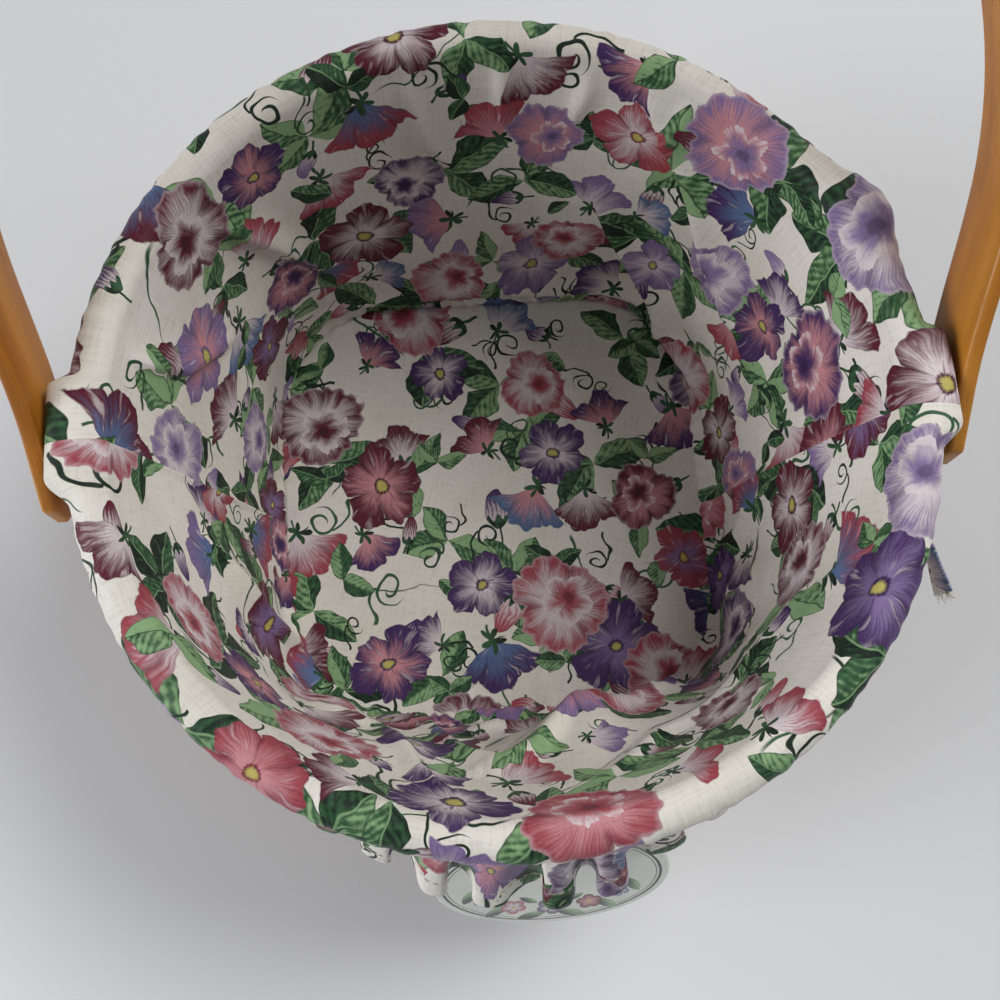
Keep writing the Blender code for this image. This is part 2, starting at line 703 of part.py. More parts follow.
def ties(side_name, sign, finish):
    """A knot below the rivet, two ties that are sewn to the skirt's halves, and two loose ends."""
    knot_height = EAR_FOOT - KNOT_RADIUS - TIE_WIDTH / 2
    knot_out = HANDLE_IN - KNOT_RADIUS - 2 * TIE_THICKNESS
    sewn_out = SKIRT_OUT + SKIRT_HEM_STAND + PLEAT_HEM_DEPTH + TIE_THICKNESS / 2
    bpy.ops.mesh.primitive_uv_sphere_add(segments=ROUND_STEPS // 2, ring_count=KNOT_RINGS, radius=KNOT_RADIUS)
    knot = bpy.context.object
    knot.name = "tie_knot_" + side_name
    knot.location = (sign * knot_out, 0, knot_height)
    knot.data.materials.append(finish)
    knot.data.shade_smooth()
    for group in knot.users_collection:
        group.objects.unlink(knot)
    PARTS.objects.link(knot)
    start = KNOT_RADIUS + FIT_GAP
    for end_name, toward in (("front", -1), ("back", 1)):
        sewn = [
            (sign * knot_out, toward * start, knot_height),
            (sign * blend(knot_out, sewn_out, SEWN_LEAN_SHARE), toward * SLIT_HALF, knot_height),
            (sign * sewn_out * math.cos(SEWN_ANGLE), toward * sewn_out * math.sin(SEWN_ANGLE), knot_height),
        ]
        ribbon("tie_" + end_name + "_" + side_name, sewn, TIE_WIDTH - KNOT_RADIUS, finish)
        free = side_name == "right" and end_name == "front"
        route = FREE_END_SHARES if free else HANGING_END_SHARES
        drop = knot_height - KNOT_RADIUS - TIE_WIDTH / 2 - FIT_GAP
        path = []
        for out_share, along_share, fall_share in route:
            out = knot_out + out_share * TIE_LENGTH
            along = toward * (FIT_GAP + along_share * TIE_LENGTH)
            path.append((sign * out, along, drop - fall_share * TIE_LENGTH))
        ribbon("tie_end_" + end_name + "_" + side_name, path, TIE_WIDTH, finish)


def build():
    wood = make_finish("splint wood", (0.50, 0.30, 0.13), 0.55)
    stained = make_finish("handle wood", (0.42, 0.19, 0.06), 0.42)
    print_cloth = make_finish("print cloth", (0.72, 0.66, 0.60), 0.85)
    plain_cloth = make_finish("elastic cloth", (0.80, 0.78, 0.72), 0.8)
    brass = make_finish("brass", (0.75, 0.53, 0.25), 0.35, 1.0)
    glaze = make_finish("glazed ceramic", (0.80, 0.82, 0.76), 0.12)
    cutter = bore_cutter()
    reach = SPLINTS_EACH_WAY // 2
    for index in range(-reach, reach + 1):
        splint("splint_lengthwise_" + str(index + reach + 1), FRONT, index, wood)
        crosswise = splint("splint_crosswise_" + str(index + reach + 1), LEFT, index, wood)
        if index == 0:
            drill(crosswise, cutter)
    for row in range(WEAVER_ROWS):
        weaver("weaver_" + str(row + 1), row, wood)
    drill(band("inner_rim_band", INNER_BAND_IN, INNER_BAND_THICKNESS, wood), cutter)
    drill(band("outer_rim_band", OUTER_BAND_IN, OUTER_BAND_THICKNESS, wood), cutter)
    liner_floor(print_cloth)
    liner_wall(print_cloth)
    skirt("skirt_front", -math.pi, print_cloth)
    skirt("skirt_back", 0, print_cloth)
    elastic("elastic_front", -math.pi, plain_cloth)
    elastic("elastic_back", 0, plain_cloth)
    for side_name, sign in (("right", 1), ("left", -1)):
        ear("handle_ear_" + side_name, sign, cutter, wood)
        washer("spacer_washer_" + side_name, SPACER_IN, SPACER_IN + SPACER_THICKNESS, sign, brass)
        washer("burr_washer_" + side_name, BURR_OUT - BURR_THICKNESS, BURR_OUT, sign, brass)
        rivet("rivet_" + side_name, sign, brass)
        ties(side_name, sign, print_cloth)
    handle(cutter, stained)
    tag(glaze)
    tag_cord(plain_cloth)


clear_scene()
PARTS = make_collection("knitting_basket")
CUTTERS = make_collection("cutters")
build()
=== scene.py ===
"""Knitting basket: printed cotton liner and skirt, woven splint body, bent wooden handle and a glazed tag."""

import contextlib
import json
import math

import bmesh
import bpy
import numpy as np
from mathutils import Matrix, Vector

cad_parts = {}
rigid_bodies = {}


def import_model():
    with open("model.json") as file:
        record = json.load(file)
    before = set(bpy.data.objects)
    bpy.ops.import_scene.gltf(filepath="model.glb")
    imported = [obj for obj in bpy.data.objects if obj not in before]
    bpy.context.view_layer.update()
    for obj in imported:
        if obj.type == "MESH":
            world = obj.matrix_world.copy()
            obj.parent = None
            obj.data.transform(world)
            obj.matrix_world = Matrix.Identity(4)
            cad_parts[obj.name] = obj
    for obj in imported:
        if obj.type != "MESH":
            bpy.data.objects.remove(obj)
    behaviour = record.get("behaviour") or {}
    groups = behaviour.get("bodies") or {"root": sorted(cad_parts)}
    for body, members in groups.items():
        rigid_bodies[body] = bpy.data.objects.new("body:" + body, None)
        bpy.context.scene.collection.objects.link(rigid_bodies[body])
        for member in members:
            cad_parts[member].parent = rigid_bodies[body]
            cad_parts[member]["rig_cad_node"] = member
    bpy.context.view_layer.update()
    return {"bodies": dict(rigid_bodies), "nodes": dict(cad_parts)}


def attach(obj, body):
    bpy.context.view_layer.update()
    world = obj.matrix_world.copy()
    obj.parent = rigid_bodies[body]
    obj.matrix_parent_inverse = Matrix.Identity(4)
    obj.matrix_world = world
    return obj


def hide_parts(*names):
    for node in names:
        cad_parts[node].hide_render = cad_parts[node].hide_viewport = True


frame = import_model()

TURN = 2 * math.pi
ENDS = (("right", 1), ("left", -1))

# Sizes of the basket, in metres
RIM_RADIUS = 0.1091
BASE_HALF = 0.086
BASE_CORNER = 0.048
BASKET_HEIGHT = 0.119
SPLINTS_EACH_WAY = 7
SPLINT_PITCH = 0.2326 * BASE_HALF
SPLINT_WIDTH = 0.0135
SPLINT_THICKNESS = 0.0012
WOOD_EDGE = 0.0004
LACING_STEP = 0.00165
LOWER_LAYER = 0.0006
UPPER_LAYER = 0.00225
BEND_RADIUS = 0.004
WALL_FOOT = 0.00625
BAND_FOOT = 0.103
BAND_TOP = 0.119
WEAVE_FOOT = 0.00715
ROW_PITCH = 0.0136929
ROW_HEIGHT = 0.0118929
WEAVER_ROWS = 7
UPRIGHTS = 4 * SPLINTS_EACH_WAY
ELASTIC_INNER = 0.1124
ELASTIC_THICKNESS = 0.0006

# Sizes of the handle and its rivets
PIVOT = Vector((0, 0, 0.111))
HANDLE_IN = 0.1216
HANDLE_THICKNESS = 0.0045
HANDLE_WIDTH = 0.022
HANDLE_TAIL = 0.02
HANDLE_BOW = 0.0044
HANDLE_RISE = 0.186
HANDLE_LEAN = math.radians(50)
EAR_WIDTH = 0.02
EAR_FOOT = 0.101
WASHER_RADIUS = 0.005
BORE_RADIUS = 0.0028
RIVET_RADIUS = 0.0025
RIVET_HEAD_RADIUS = 0.0045
RIVET_HEAD_IN = 0.1049
RIVET_HEAD_OUT = 0.106
RIVET_DOME_RADIUS = 0.0035
RIVET_SEAT = 0.1277

# Sizes of the cloth
FLOOR_Z = 0.00415
LINER_HALF = 0.08125
LINER_CORNER = 0.046
LINER_TURN = 0.1155
LINER_TOP_RADIUS = 0.1036
ROLL_LEG = 0.105
ROLL_OUT = 0.115
ROLL_SPRING = 0.121
ROLL_CROWN = 0.005
ROLL_FOOT = 0.1164
EAR_COVER = 0.1201
HALF_GAP = 0.0115
SKIRT_TOP = 0.1161
SKIRT_DROP = 0.0301
SKIRT_RADIUS = 0.1147
PLEAT_PITCH = 0.015
CLOTH = 0.0005
PRINT_RADIUS = 0.1005
THREAD_PITCH = 0.00062
KNOT_RADIUS = 0.0033
TIE_WIDTH = 0.009
TIE_LENGTH = 0.055
SEWN_OUT = SKIRT_RADIUS + 0.00455

# Sizes of the tag
TAG_HALF_WIDTH = 0.036
TAG_HALF_HEIGHT = 0.025
TAG_HALF_THICKNESS = 0.0018
TAG_EDGE = 0.0016
TAG_DROP = 0.0185
TAG_HOLE_OUT = 0.012
TAG_HOLE = 0.00308
TAG_PLACE = (0.0055, -0.1162, 0.0708)


for item in list(bpy.data.objects):
    if "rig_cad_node" not in item and item not in frame["bodies"].values():
        bpy.data.objects.remove(item, do_unlink=True)


def put(name, data):
    """A new object in the scene."""
    item = bpy.data.objects.new(name, data)
    bpy.context.scene.collection.objects.link(item)
    return item


def frozen(item, name):
    """An object's mesh with its modifiers applied; the object goes."""
    graph = bpy.context.evaluated_depsgraph_get()
    mesh = bpy.data.meshes.new_from_object(item.evaluated_get(graph), preserve_all_data_layers=True,
                                           depsgraph=graph)
    bpy.data.objects.remove(item, do_unlink=True)
    mesh.name = name
    return mesh


# Finishes

def maths_of(operation):
    return lambda field, *others: field.maths(operation, *others)


class Field:
    """A value somewhere in a node tree, so that its maths reads as plain sums."""

    def __init__(self, owner, socket):
        self.owner, self.socket = owner, socket

    def maths(self, operation, *others):
        return self.owner.add("ShaderNodeMath", {"operation": operation}, dict(enumerate((self, *others))))

    __add__ = __radd__ = maths_of("ADD")
    __sub__ = maths_of("SUBTRACT")
    __mul__ = __rmul__ = maths_of("MULTIPLY")
    __truediv__ = maths_of("DIVIDE")
    __pow__ = maths_of("POWER")
    __abs__ = maths_of("ABSOLUTE")
    sine = maths_of("SINE")
    cosine = maths_of("COSINE")
    part = maths_of("FRACT")
    most = maths_of("MAXIMUM")

    def __rsub__(self, other):
        return self.owner.add("ShaderNodeMath", {"operation": "SUBTRACT"}, {0: other, 1: self})

    def rise(self, low, high):
        """0 below low, 1 above high, and smooth between; the other way round where low is the greater."""
        return self.owner.add("ShaderNodeMapRange", {"interpolation_type": "SMOOTHSTEP"},
                               {"Value": self, "From Min": low, "From Max": high})

    def axes(self):
        node = self.owner.add("ShaderNodeSeparateXYZ", {}, {0: self}).socket.node
        return [Field(self.owner, output) for output in node.outputs]


class Tree:
    """A node tree, with one way in for every kind of node."""

    def __init__(self, tree):
        self.tree = tree

    def add(self, kind, settings, values, output=0):
        node = self.tree.nodes.new(kind)
        for key, value in settings.items():
            setattr(node, key, value)
        for key, value in values.items():
            if isinstance(value, Field):
                self.tree.links.new(value.socket, node.inputs[key])
            else:
                node.inputs[key].default_value = value
        return Field(self, node.outputs[output])

    def join(self, x, y, z=0.0):
        return self.add("ShaderNodeCombineXYZ", {}, {0: x, 1: y, 2: z})


class Finish(Tree):
    """One material's nodes."""

    def __init__(self, name, **constants):
        self.material = bpy.data.materials.new(name)
        self.material.use_nodes = True
        super().__init__(self.material.node_tree)
        self.shader = self.tree.nodes["Principled BSDF"]
        for key, value in constants.items():
            self.shader.inputs[key.replace("_", " ")].default_value = value

    def mix(self, share, low, high, way="MIX"):
        return self.add("ShaderNodeMix", {"data_type": "RGBA", "blend_type": way}, {0: share, 6: low, 7: high}, 2)

    def vector(self, operation, *values, output=0):
        return self.add("ShaderNodeVectorMath", {"operation": operation}, dict(enumerate(values)), output)

    def noise(self, place, scale, detail=2.0, output=0):
        return self.add("ShaderNodeTexNoise", {}, {"Vector": place, "Scale": scale, "Detail": detail}, output)

    def choose(self, pick, colours):
        """One of the colours, in equal shares of the picks from 0 to 1."""
        chosen = self.add("ShaderNodeValToRGB", {}, {0: pick})
        ramp = chosen.socket.node.color_ramp
        ramp.interpolation = "CONSTANT"
        while len(ramp.elements) < len(colours):
            ramp.elements.new(1.0)
        for k, colour in enumerate(colours):
            ramp.elements[k].position = k / len(colours)
            ramp.elements[k].color = colour
        return chosen

    def along(self, name):
        return self.add("ShaderNodeUVMap", {"uv_map": name}, {})

    def here(self):
        return self.add("ShaderNodeTexCoord", {}, {}, 3)

    def wear(self, colour, roughness, height, depth, strength):
        bump = self.add("ShaderNodeBump", {}, {"Height": height, "Distance": depth, "Strength": strength})
        for field, key in ((colour, "Base Color"), (roughness, "Roughness"), (bump, "Normal")):
            if field is not None:
                self.tree.links.new(field.socket, self.shader.inputs[key])
        return self.material


class Growth(Tree):
    """A Geometry Nodes tree with named number inputs, which grows finished meshes from guides."""

    def __init__(self, name, *keys):
        super().__init__(bpy.data.node_groups.new(name, "GeometryNodeTree"))
        face = self.tree.interface
        face.new_socket("Guide", in_out="INPUT", socket_type="NodeSocketGeometry")
        self.keys = {}
        for key in keys:
            self.keys[key] = face.new_socket(key, in_out="INPUT", socket_type="NodeSocketFloat").identifier
        face.new_socket("Made", in_out="OUTPUT", socket_type="NodeSocketGeometry")
        self.given = self.tree.nodes.new("NodeGroupInput")

    def input(self, key):
        return Field(self, self.given.outputs[key])

    def guide(self):
        return self.add("GeometryNodeMeshToCurve", {}, {0: self.input("Guide")})

    def run(self):
        return self.add("GeometryNodeSplineParameter", {}, {}, 1)

    def attribute(self, name, kind="FLOAT"):
        return self.add("GeometryNodeInputNamedAttribute", {"data_type": kind}, {"Name": name})

    def store(self, geometry, name, value, kind="FLOAT", domain="POINT"):
        return self.add("GeometryNodeStoreNamedAttribute", {"data_type": kind, "domain": domain},
                        {"Geometry": geometry, "Name": name, "Value": value})

    def sweep(self, line, section):
        return self.add("GeometryNodeCurveToMesh", {},
                        {"Curve": line, "Profile Curve": section, "Fill Caps": True})

    def end(self, geometry, material):
        real = self.add("GeometryNodeRealizeInstances", {}, {0: geometry})
        dressed = self.add("GeometryNodeSetMaterial", {}, {"Geometry": real, "Material": material})
        self.tree.links.new(dressed.socket, self.tree.nodes.new("NodeGroupOutput").inputs[0])
        return self

    def grow(self, name, guide, **values):
        item = put(name + "_guide", guide)
        step = item.modifiers.new("growth", "NODES")
        step.node_group = self.tree
        for key, value in values.items():
            step[self.keys[key]] = value
        return frozen(item, name)


def guide_line(name, points, **attributes):
    """A row of joined points with values stored on them, for a tree to grow on."""
    mesh = bpy.data.meshes.new(name)
    mesh.from_pydata(np.asarray(points, float).tolist(), [(k, k + 1) for k in range(len(points) - 1)], [])
    for key, values in attributes.items():
        values = np.asarray(values, np.float32)
        kind, field = ("FLOAT_VECTOR", "vector") if values.ndim == 2 else ("FLOAT", "value")
        mesh.attributes.new(key, kind, "POINT").data.foreach_set(field, values.ravel())
    return mesh


def paint(code):
    """Linear colour from a hex code."""
    parts = [int(code[k:k + 2], 16) / 255 for k in (1, 3, 5)]
    return tuple(c / 12.92 if c <= 0.04045 else ((c + 0.055) / 1.055) ** 2.4 for c in parts) + (1.0,)


CREAM = paint("#eae6de")
PALE = paint("#dcd0d5")
PINK = paint("#ce8f95")
PURPLE = paint("#43255f")
LILAC = paint("#86709f")
ROSE = paint("#a4434f")
BURGUNDY = paint("#5e102a")
SLATE = paint("#566f99")
DEEP_PURPLE = paint("#1a0a2a")
DARK_LEAF = paint("#061f16")
SAGE = paint("#2f5937")
LIGHT_LEAF = paint("#8cb07f")
TENDRIL = paint("#0c261b")


class Motif:
    """One motif in every cell of a turned grid: its own place, angle, size and three picks from 0 to 1."""

    def __init__(self, cloth, place, pitch, turn, shift, seed, wander, radius, stretch=1.0, missing=2.0):
        settled = {"Vector": place, "Location": (*shift, float(seed)), "Rotation": (0, 0, turn),
                   "Scale": (1 / pitch, 1 / pitch, 1)}
        spot = cloth.add("ShaderNodeMapping", {}, settled)
        cell = cloth.vector("FLOOR", spot)
        random = cloth.add("ShaderNodeTexWhiteNoise", {"noise_dimensions": "3D"}, {"Vector": cell}, 1)
        other = cloth.add("ShaderNodeTexWhiteNoise", {"noise_dimensions": "4D"}, {"Vector": cell, "W": 5.5}, 1)
        self.picks = other.axes()
        middle = 0.5 - wander / 2
        centre = cloth.vector("MULTIPLY_ADD", random, (wander, wander, 0), (middle, middle, 0))
        inside = cloth.vector("SUBTRACT", cloth.vector("SUBTRACT", spot, cell), centre)
        turned = cloth.add("ShaderNodeVectorRotate", {"rotation_type": "Z_AXIS"},
                           {"Vector": inside, "Angle": random.axes()[2] * TURN})
        size = pitch / radius
        grown = cloth.vector("MULTIPLY", turned, (size * stretch, size, 0))
        room = self.picks[0] * 0.5 + 0.78 + self.picks[0].rise(missing, missing + 0.01) * 1000
        self.spot = cloth.add("ShaderNodeVectorMath", {"operation": "SCALE"}, {0: grown, "Scale": room})
        self.cloth = cloth

    def polar(self, lift=0.0):
        spot = self.cloth.vector("ADD", self.spot, (0, lift, 0)) if lift else self.spot
        x, y, _ = spot.axes()
        reach = self.cloth.vector("LENGTH", spot, output=1)
        return reach, y.maths("ARCTAN2", x), x, y

    def dyes(self, tones, hearts, depth):
        """The motif's main colour, its inner colour and the main one's shadow."""
        main, inner = self.cloth.choose(self.picks[1], tones), self.cloth.choose(self.picks[2], hearts)
        return main, inner, self.cloth.mix(depth, main, DEEP_PURPLE)


def streaks(cloth, turn, reach, pick, count):
    """Brush strokes that run out from a flower's throat."""
    return cloth.noise(cloth.join(turn * count, reach * 1.1, pick * 40), 1.5, 4.0)


def pen_lines(turn, brush, reach, count):
    """Fine lines that run out from a flower's throat and start softly."""
    return (turn * count + brush * 8).sine().rise(0.3, 0.85) * reach.rise(0.2, 0.5) * 0.42


def open_bloom(cloth, ground, motif, grain, tones, hearts):
    """An open flower of five unlike petals with brushed streaks, a pale throat and a ruffled edge."""
    reach, turn, _, _ = motif.polar()
    pick = motif.picks[0]
    brush = streaks(cloth, turn, reach, pick, 4.2)
    sector = turn * (5 / TURN) + 0.5
    petal_luck = (sector.maths("FLOOR") * 2.4 + pick * 40).sine()
    lobe = abs((turn * 2.5).cosine())
    ruffle = (turn * 15 + pick * 30).sine() * 0.03 + (grain - 0.5) * 0.12
    edge = reach / (lobe ** 0.45 * 0.34 + 0.63 + ruffle + petal_luck * 0.06)
    main, inner, dark = motif.dyes(tones, hearts, 0.45)
    petal = cloth.mix((edge + (brush - 0.5) * 1.3 + petal_luck * 0.16).rise(0.12, 0.92), inner, main)
    cleft = (1 - lobe.rise(0.02, 0.45)) * edge.rise(0.2, 0.75) * 0.75
    side = (sector.part() - 0.5).rise(0.05, 0.5) * 0.4
    rim = edge.rise(0.86, 1.0) * brush.rise(0.3, 0.6) * 0.6
    petal = cloth.mix(cleft.most(side * edge.rise(0.3, 0.8)).most(rim), petal, dark)
    petal = cloth.mix(brush.rise(0.56, 0.72) * edge.rise(0.15, 0.5) * 0.55, petal, PALE)
    whisker = brush.rise(0.42, 0.3) * (1 - reach.rise(0.25, 0.62)) * 0.8
    petal = cloth.mix(whisker.most(pen_lines(turn, brush, reach, 64)), petal, dark)
    ground = cloth.mix(1 - edge.rise(0.965, 1.0), ground, petal)
    eye = cloth.mix((reach + brush * 0.1).rise(0.12, 0.2), paint("#c3b765"), dark)
    return cloth.mix(1 - (reach - brush * 0.12).rise(0.09, 0.14), ground, eye)


def double_bloom(cloth, ground, motif, grain, tones, hearts):
    """A fuller flower: broad back petals, and a ruffled heart of smaller ones set towards one side."""
    reach, turn, x, y = motif.polar()
    pick = motif.picks[0]
    brush = streaks(cloth, turn, reach, pick, 3.6)
    lobe = abs((turn * 1.5).cosine())
    edge = reach / (lobe ** 0.5 * 0.22 + 0.74 + (turn * 17 + pick * 30).sine() * 0.03 + (grain - 0.5) * 0.14)
    main, inner, dark = motif.dyes(tones, hearts, 0.5)
    petal = cloth.mix((edge + (brush - 0.5) * 1.2).rise(0.35, 1.05), inner, main)
    petal = cloth.mix((1 - lobe.rise(0.02, 0.35)) * edge.rise(0.3, 0.8) * 0.7, petal, dark)
    petal = cloth.mix(brush.rise(0.42, 0.3) * edge.rise(0.3, 0.7) * 0.5, petal, dark)
    petal = cloth.mix(pen_lines(turn, brush, reach, 70), petal, dark)
    petal = cloth.mix(edge.rise(0.88, 1.0) * 0.45, petal, PALE)
    ground = cloth.mix(1 - edge.rise(0.965, 1.0), ground, petal)
    low = y + 0.18
    near = (x * x + low * low) ** 0.5
    fold = abs((low.maths("ARCTAN2", x) * 2.5 + pick * 9).cosine())
    edge = near / (fold ** 0.6 * 0.24 + 0.28 + (grain - 0.5) * 0.25 + (brush - 0.5) * 0.2)
    heart_petal = cloth.mix((edge + (brush - 0.5) * 0.9).rise(0.3, 1.0), main, inner)
    heart_petal = cloth.mix((1 - fold.rise(0.03, 0.45)) * 0.6, heart_petal, dark)
    heart_petal = cloth.mix(edge.rise(0.6, 0.97) * brush.rise(0.35, 0.6), heart_petal, PALE)
    ground = cloth.mix(1 - edge.rise(0.96, 1.0), ground, heart_petal)
    return cloth.mix(1 - near.rise(0.08, 0.15), ground, dark)


def side_bloom(cloth, ground, motif, grain, tones, hearts):
    """A flower seen from the side: a ruffled fan in a green cup with a short stem."""
    reach, turn, x, y = motif.polar(0.62)
    pick = motif.picks[0]
    swing = turn - math.pi / 2
    brush = streaks(cloth, turn, reach, pick, 5.5)
    lobe = abs((swing * 3.1 + pick).cosine())
    outline = lobe ** 0.6 * 0.26 + 1.1 + (swing * 17).sine() * 0.03 + (grain - 0.5) * 0.14
    edge = (reach / outline).most(abs(swing) * (1 / 1.02))
    main, inner, dark = motif.dyes(tones, hearts, 0.5)
    petal = cloth.mix((reach * 0.85 + (brush - 0.5) * 1.2).rise(0.3, 1.05), inner, main)
    shade = (1 - lobe.rise(0.02, 0.45)) * reach.rise(0.3, 0.9) * 0.75
    shade = shade.most(edge.rise(0.88, 1.0) * 0.5).most(brush.rise(0.42, 0.3) * 0.5 * reach.rise(0.3, 0.8))
    petal = cloth.mix(shade.most(pen_lines(turn, brush, reach, 58)), petal, dark)
    petal = cloth.mix(brush.rise(0.58, 0.72) * 0.6, petal, PALE)
    ground = cloth.mix(1 - edge.rise(0.965, 1.0), ground, petal)
    stem = 1 - abs(x + (y * 5).sine() * 0.05).rise(0.025, 0.045)
    stem = stem * y.rise(-0.45, -0.42) * (1 - y.rise(0.1, 0.2))
    sepal = abs((swing * 2.6).cosine()) ** 2.0 * 0.26 + 0.1
    cup = 1 - reach.rise(sepal - 0.03, sepal)
    green = cloth.mix((x + grain * 0.2).rise(-0.1, 0.2), DARK_LEAF, SAGE)
    return cloth.mix(stem.most(cup), ground, green)


def bud(cloth, ground, motif, grain, tones):
    """A closed bud in a green cup."""
    x, y, _ = motif.spot.axes()
    width = (1 - y * y * 0.95).most(0.0) ** 0.6 * (0.56 - y * 0.12)
    edge = abs(x) / (width + 0.001)
    veins = (x * 26 / (width + 0.2) + grain * 6).sine() * 0.5 + 0.5
    main = cloth.choose(motif.picks[1], tones)
    petal = cloth.mix((y * 0.6 + veins * 0.4 + grain * 0.5).rise(-0.1, 0.9), PALE, main)
    petal = cloth.mix(edge.rise(0.7, 1.0) * 0.7, petal, cloth.mix(0.5, main, DEEP_PURPLE))
    ends = 1 - abs(y).rise(0.97, 1.0)
    ground = cloth.mix((1 - edge.rise(0.93, 1.0)) * ends, ground, petal)
    cup = (-0.45 - y + (x * 16).cosine() * 0.14).rise(0.0, 0.05) * (1 - edge.rise(0.97, 1.04)) * ends
    stem = (1 - abs(x + (y * 3).sine() * 0.06 - 0.04).rise(0.05, 0.08)) * (1 - y.rise(-0.93, -0.88))
    stem = stem * y.rise(-1.7, -1.65)
    return cloth.mix(cup.most(stem), ground, cloth.mix(grain.rise(0.35, 0.6), DARK_LEAF, SAGE))


def leaves(cloth, ground, motif, grain, count):
    """A cluster of pointed leaves round a point, each with a rib, side veins and a light and a dark half."""
    reach, turn, _, _ = motif.polar()
    pick, tone, _ = motif.picks
    sector = turn * (count / TURN) + 0.5 * (count % 2)
    index = sector.maths("FLOOR")
    swing = (sector - index - 0.5) * (TURN / count)
    luck = (index * 2.4 + pick * 40).sine()
    share = reach * swing.cosine() / (luck * 0.16 + 0.84)
    across = reach * swing.sine() + (share * 3.1).sine() * 0.04
    inside = share.most(0.0) * (1 - share).most(0.0)
    gap = inside ** 0.8 * (1.0 - share * 0.4) - abs(across)
    grown = luck.rise(-0.47, -0.45)
    mask = gap.rise(0.0, 0.015) * grown
    veins = ((share - abs(across) * 1.25) * 44).sine() * 0.5 + 0.5
    light = across.rise(-0.03, 0.05) * 0.5 + (veins - 0.5) * 0.3 + (grain - 0.5) * 1.2 + tone * 0.9 - 0.1
    leaf = cloth.mix(light.rise(-0.1, 0.5), DARK_LEAF, SAGE)
    leaf = cloth.mix(light.rise(0.42, 1.05), leaf, LIGHT_LEAF)
    leaf = cloth.mix((1 - gap.rise(0.012, 0.04)) * 0.6, leaf, DARK_LEAF)
    rib = cloth.mix(tone.rise(0.4, 0.6), LIGHT_LEAF, DARK_LEAF)
    leaf = cloth.mix((1 - abs(across).rise(0.006, 0.018)) * 0.7, leaf, rib)
    stalk = (1 - abs(across).rise(0.010, 0.022)) * (1 - share.rise(0.1, 0.15)) * grown
    return cloth.mix(mask.most(stalk), ground, leaf)


def tendril(cloth, ground, motif, width):
    """A curl of a turn and a half on a wavy stalk."""
    reach, turn, x, y = motif.polar()
    coil = abs((reach * 3.0 - turn * (1 / TURN)).part() - 0.5)
    curl = (1 - coil.rise(width * 3.0, width * 3.0 + 0.07)) * (1 - reach.rise(0.50, 0.53)) * reach.rise(0.12, 0.15)
    stalk = abs(y + 0.47 + (x * 4.2).sine() * 0.16)
    stalk = (1 - stalk.rise(width, width + 0.025)) * x.rise(-0.02, 0.02) * (1 - x.rise(1.15, 1.2))
    return cloth.mix(curl.most(stalk), ground, cloth.mix(motif.picks[1].rise(0.5, 0.7), TENDRIL, SAGE))


def stems(cloth, ground, place, angle, pitch):
    """Thin branches that wander through the print and come and go."""
    drift = cloth.noise(place, 16.0, 1.0)
    x, y, _ = place.axes()
    flow = x * math.sin(angle) + y * math.cos(angle) + (drift - 0.5) * 0.09
    line = abs((flow * (1 / pitch)).part() - 0.5)
    patch = (x * 71 + y * 33 + drift * 9).sine() * (y * 57 - x * 41).sine()
    shown = (1 - line.rise(0.004, 0.011)) * patch.rise(-0.1, 0.05)
    return cloth.mix(shown, ground, cloth.mix(drift.rise(0.4, 0.6), TENDRIL, SAGE))


# Each layer of the print: its drawing, its grid as Motif takes it, and its own values
GRID = (0.0545, 0.37)
BUD_TONES = (PURPLE, BURGUNDY, ROSE, PURPLE, LILAC, BURGUNDY)
LAYERS = (
    (leaves, (*GRID, (0.22, 0.3), 21, 0.22, 0.0225), (5,)),
    (leaves, (*GRID, (0.72, 0.55), 29, 0.22, 0.0215), (5,)),
    (tendril, (0.036, 0.5, (0.2, 0.1), 3, 0.25, 0.0098), (0.036,)),
    (tendril, (0.031, -0.8, (0.6, 0.4), 11, 0.3, 0.0078), (0.042,)),
    (bud, (0.036, 1.1, (0.3, 0.65), 41, 0.3, 0.0064), (BUD_TONES,)),
    (side_bloom, (*GRID, (0.05, 0.8), 51, 0.24, 0.0126, 1.0, 0.85),
     ((ROSE, PURPLE, BURGUNDY, LILAC, ROSE), (PALE, PINK, SLATE, PALE))),
    (side_bloom, (*GRID, (0.5, 0.02), 57, 0.26, 0.0108, 1.0, 0.8),
     ((PURPLE, ROSE, LILAC, BURGUNDY, SLATE), (PINK, PALE, PALE))),
    (leaves, (0.041, -0.35, (0.1, 0.8), 33, 0.2, 0.0142), (3,)),
    (open_bloom, (*GRID, (0.45, 0.45), 61, 0.24, 0.0152, 1.1, 0.85),
     ((ROSE, PURPLE, BURGUNDY, LILAC, BURGUNDY), (PALE, PINK, PALE, LILAC))),
    (double_bloom, (*GRID, (0.93, 0.3), 67, 0.24, 0.0143, 0.9, 0.8),
     ((PURPLE, ROSE, BURGUNDY, LILAC, ROSE), (PALE, PINK, PALE))),
)


def print_colours(cloth, place):
    """The print's colours at a place on the cloth, in metres."""
    sway = cloth.noise(place, 120.0, 1.0, output=1)
    bent = cloth.vector("ADD", place, cloth.vector("MULTIPLY_ADD", sway, (0.0044, 0.0044, 0), (-0.0022, -0.0022, 0)))
    grain = cloth.noise(place, 420.0, 2.0)
    ground = cloth.mix(cloth.noise(place, 30.0, 1.0).rise(0.3, 0.75), CREAM, paint("#e0dcd0"))
    ground = stems(cloth, ground, bent, 0.6, 0.055)
    for draw, grid, values in LAYERS:
        motif = Motif(cloth, bent, *grid)
        ground = draw(cloth, ground, motif, *values) if draw is tendril else draw(cloth, ground, motif, grain, *values)
    return ground


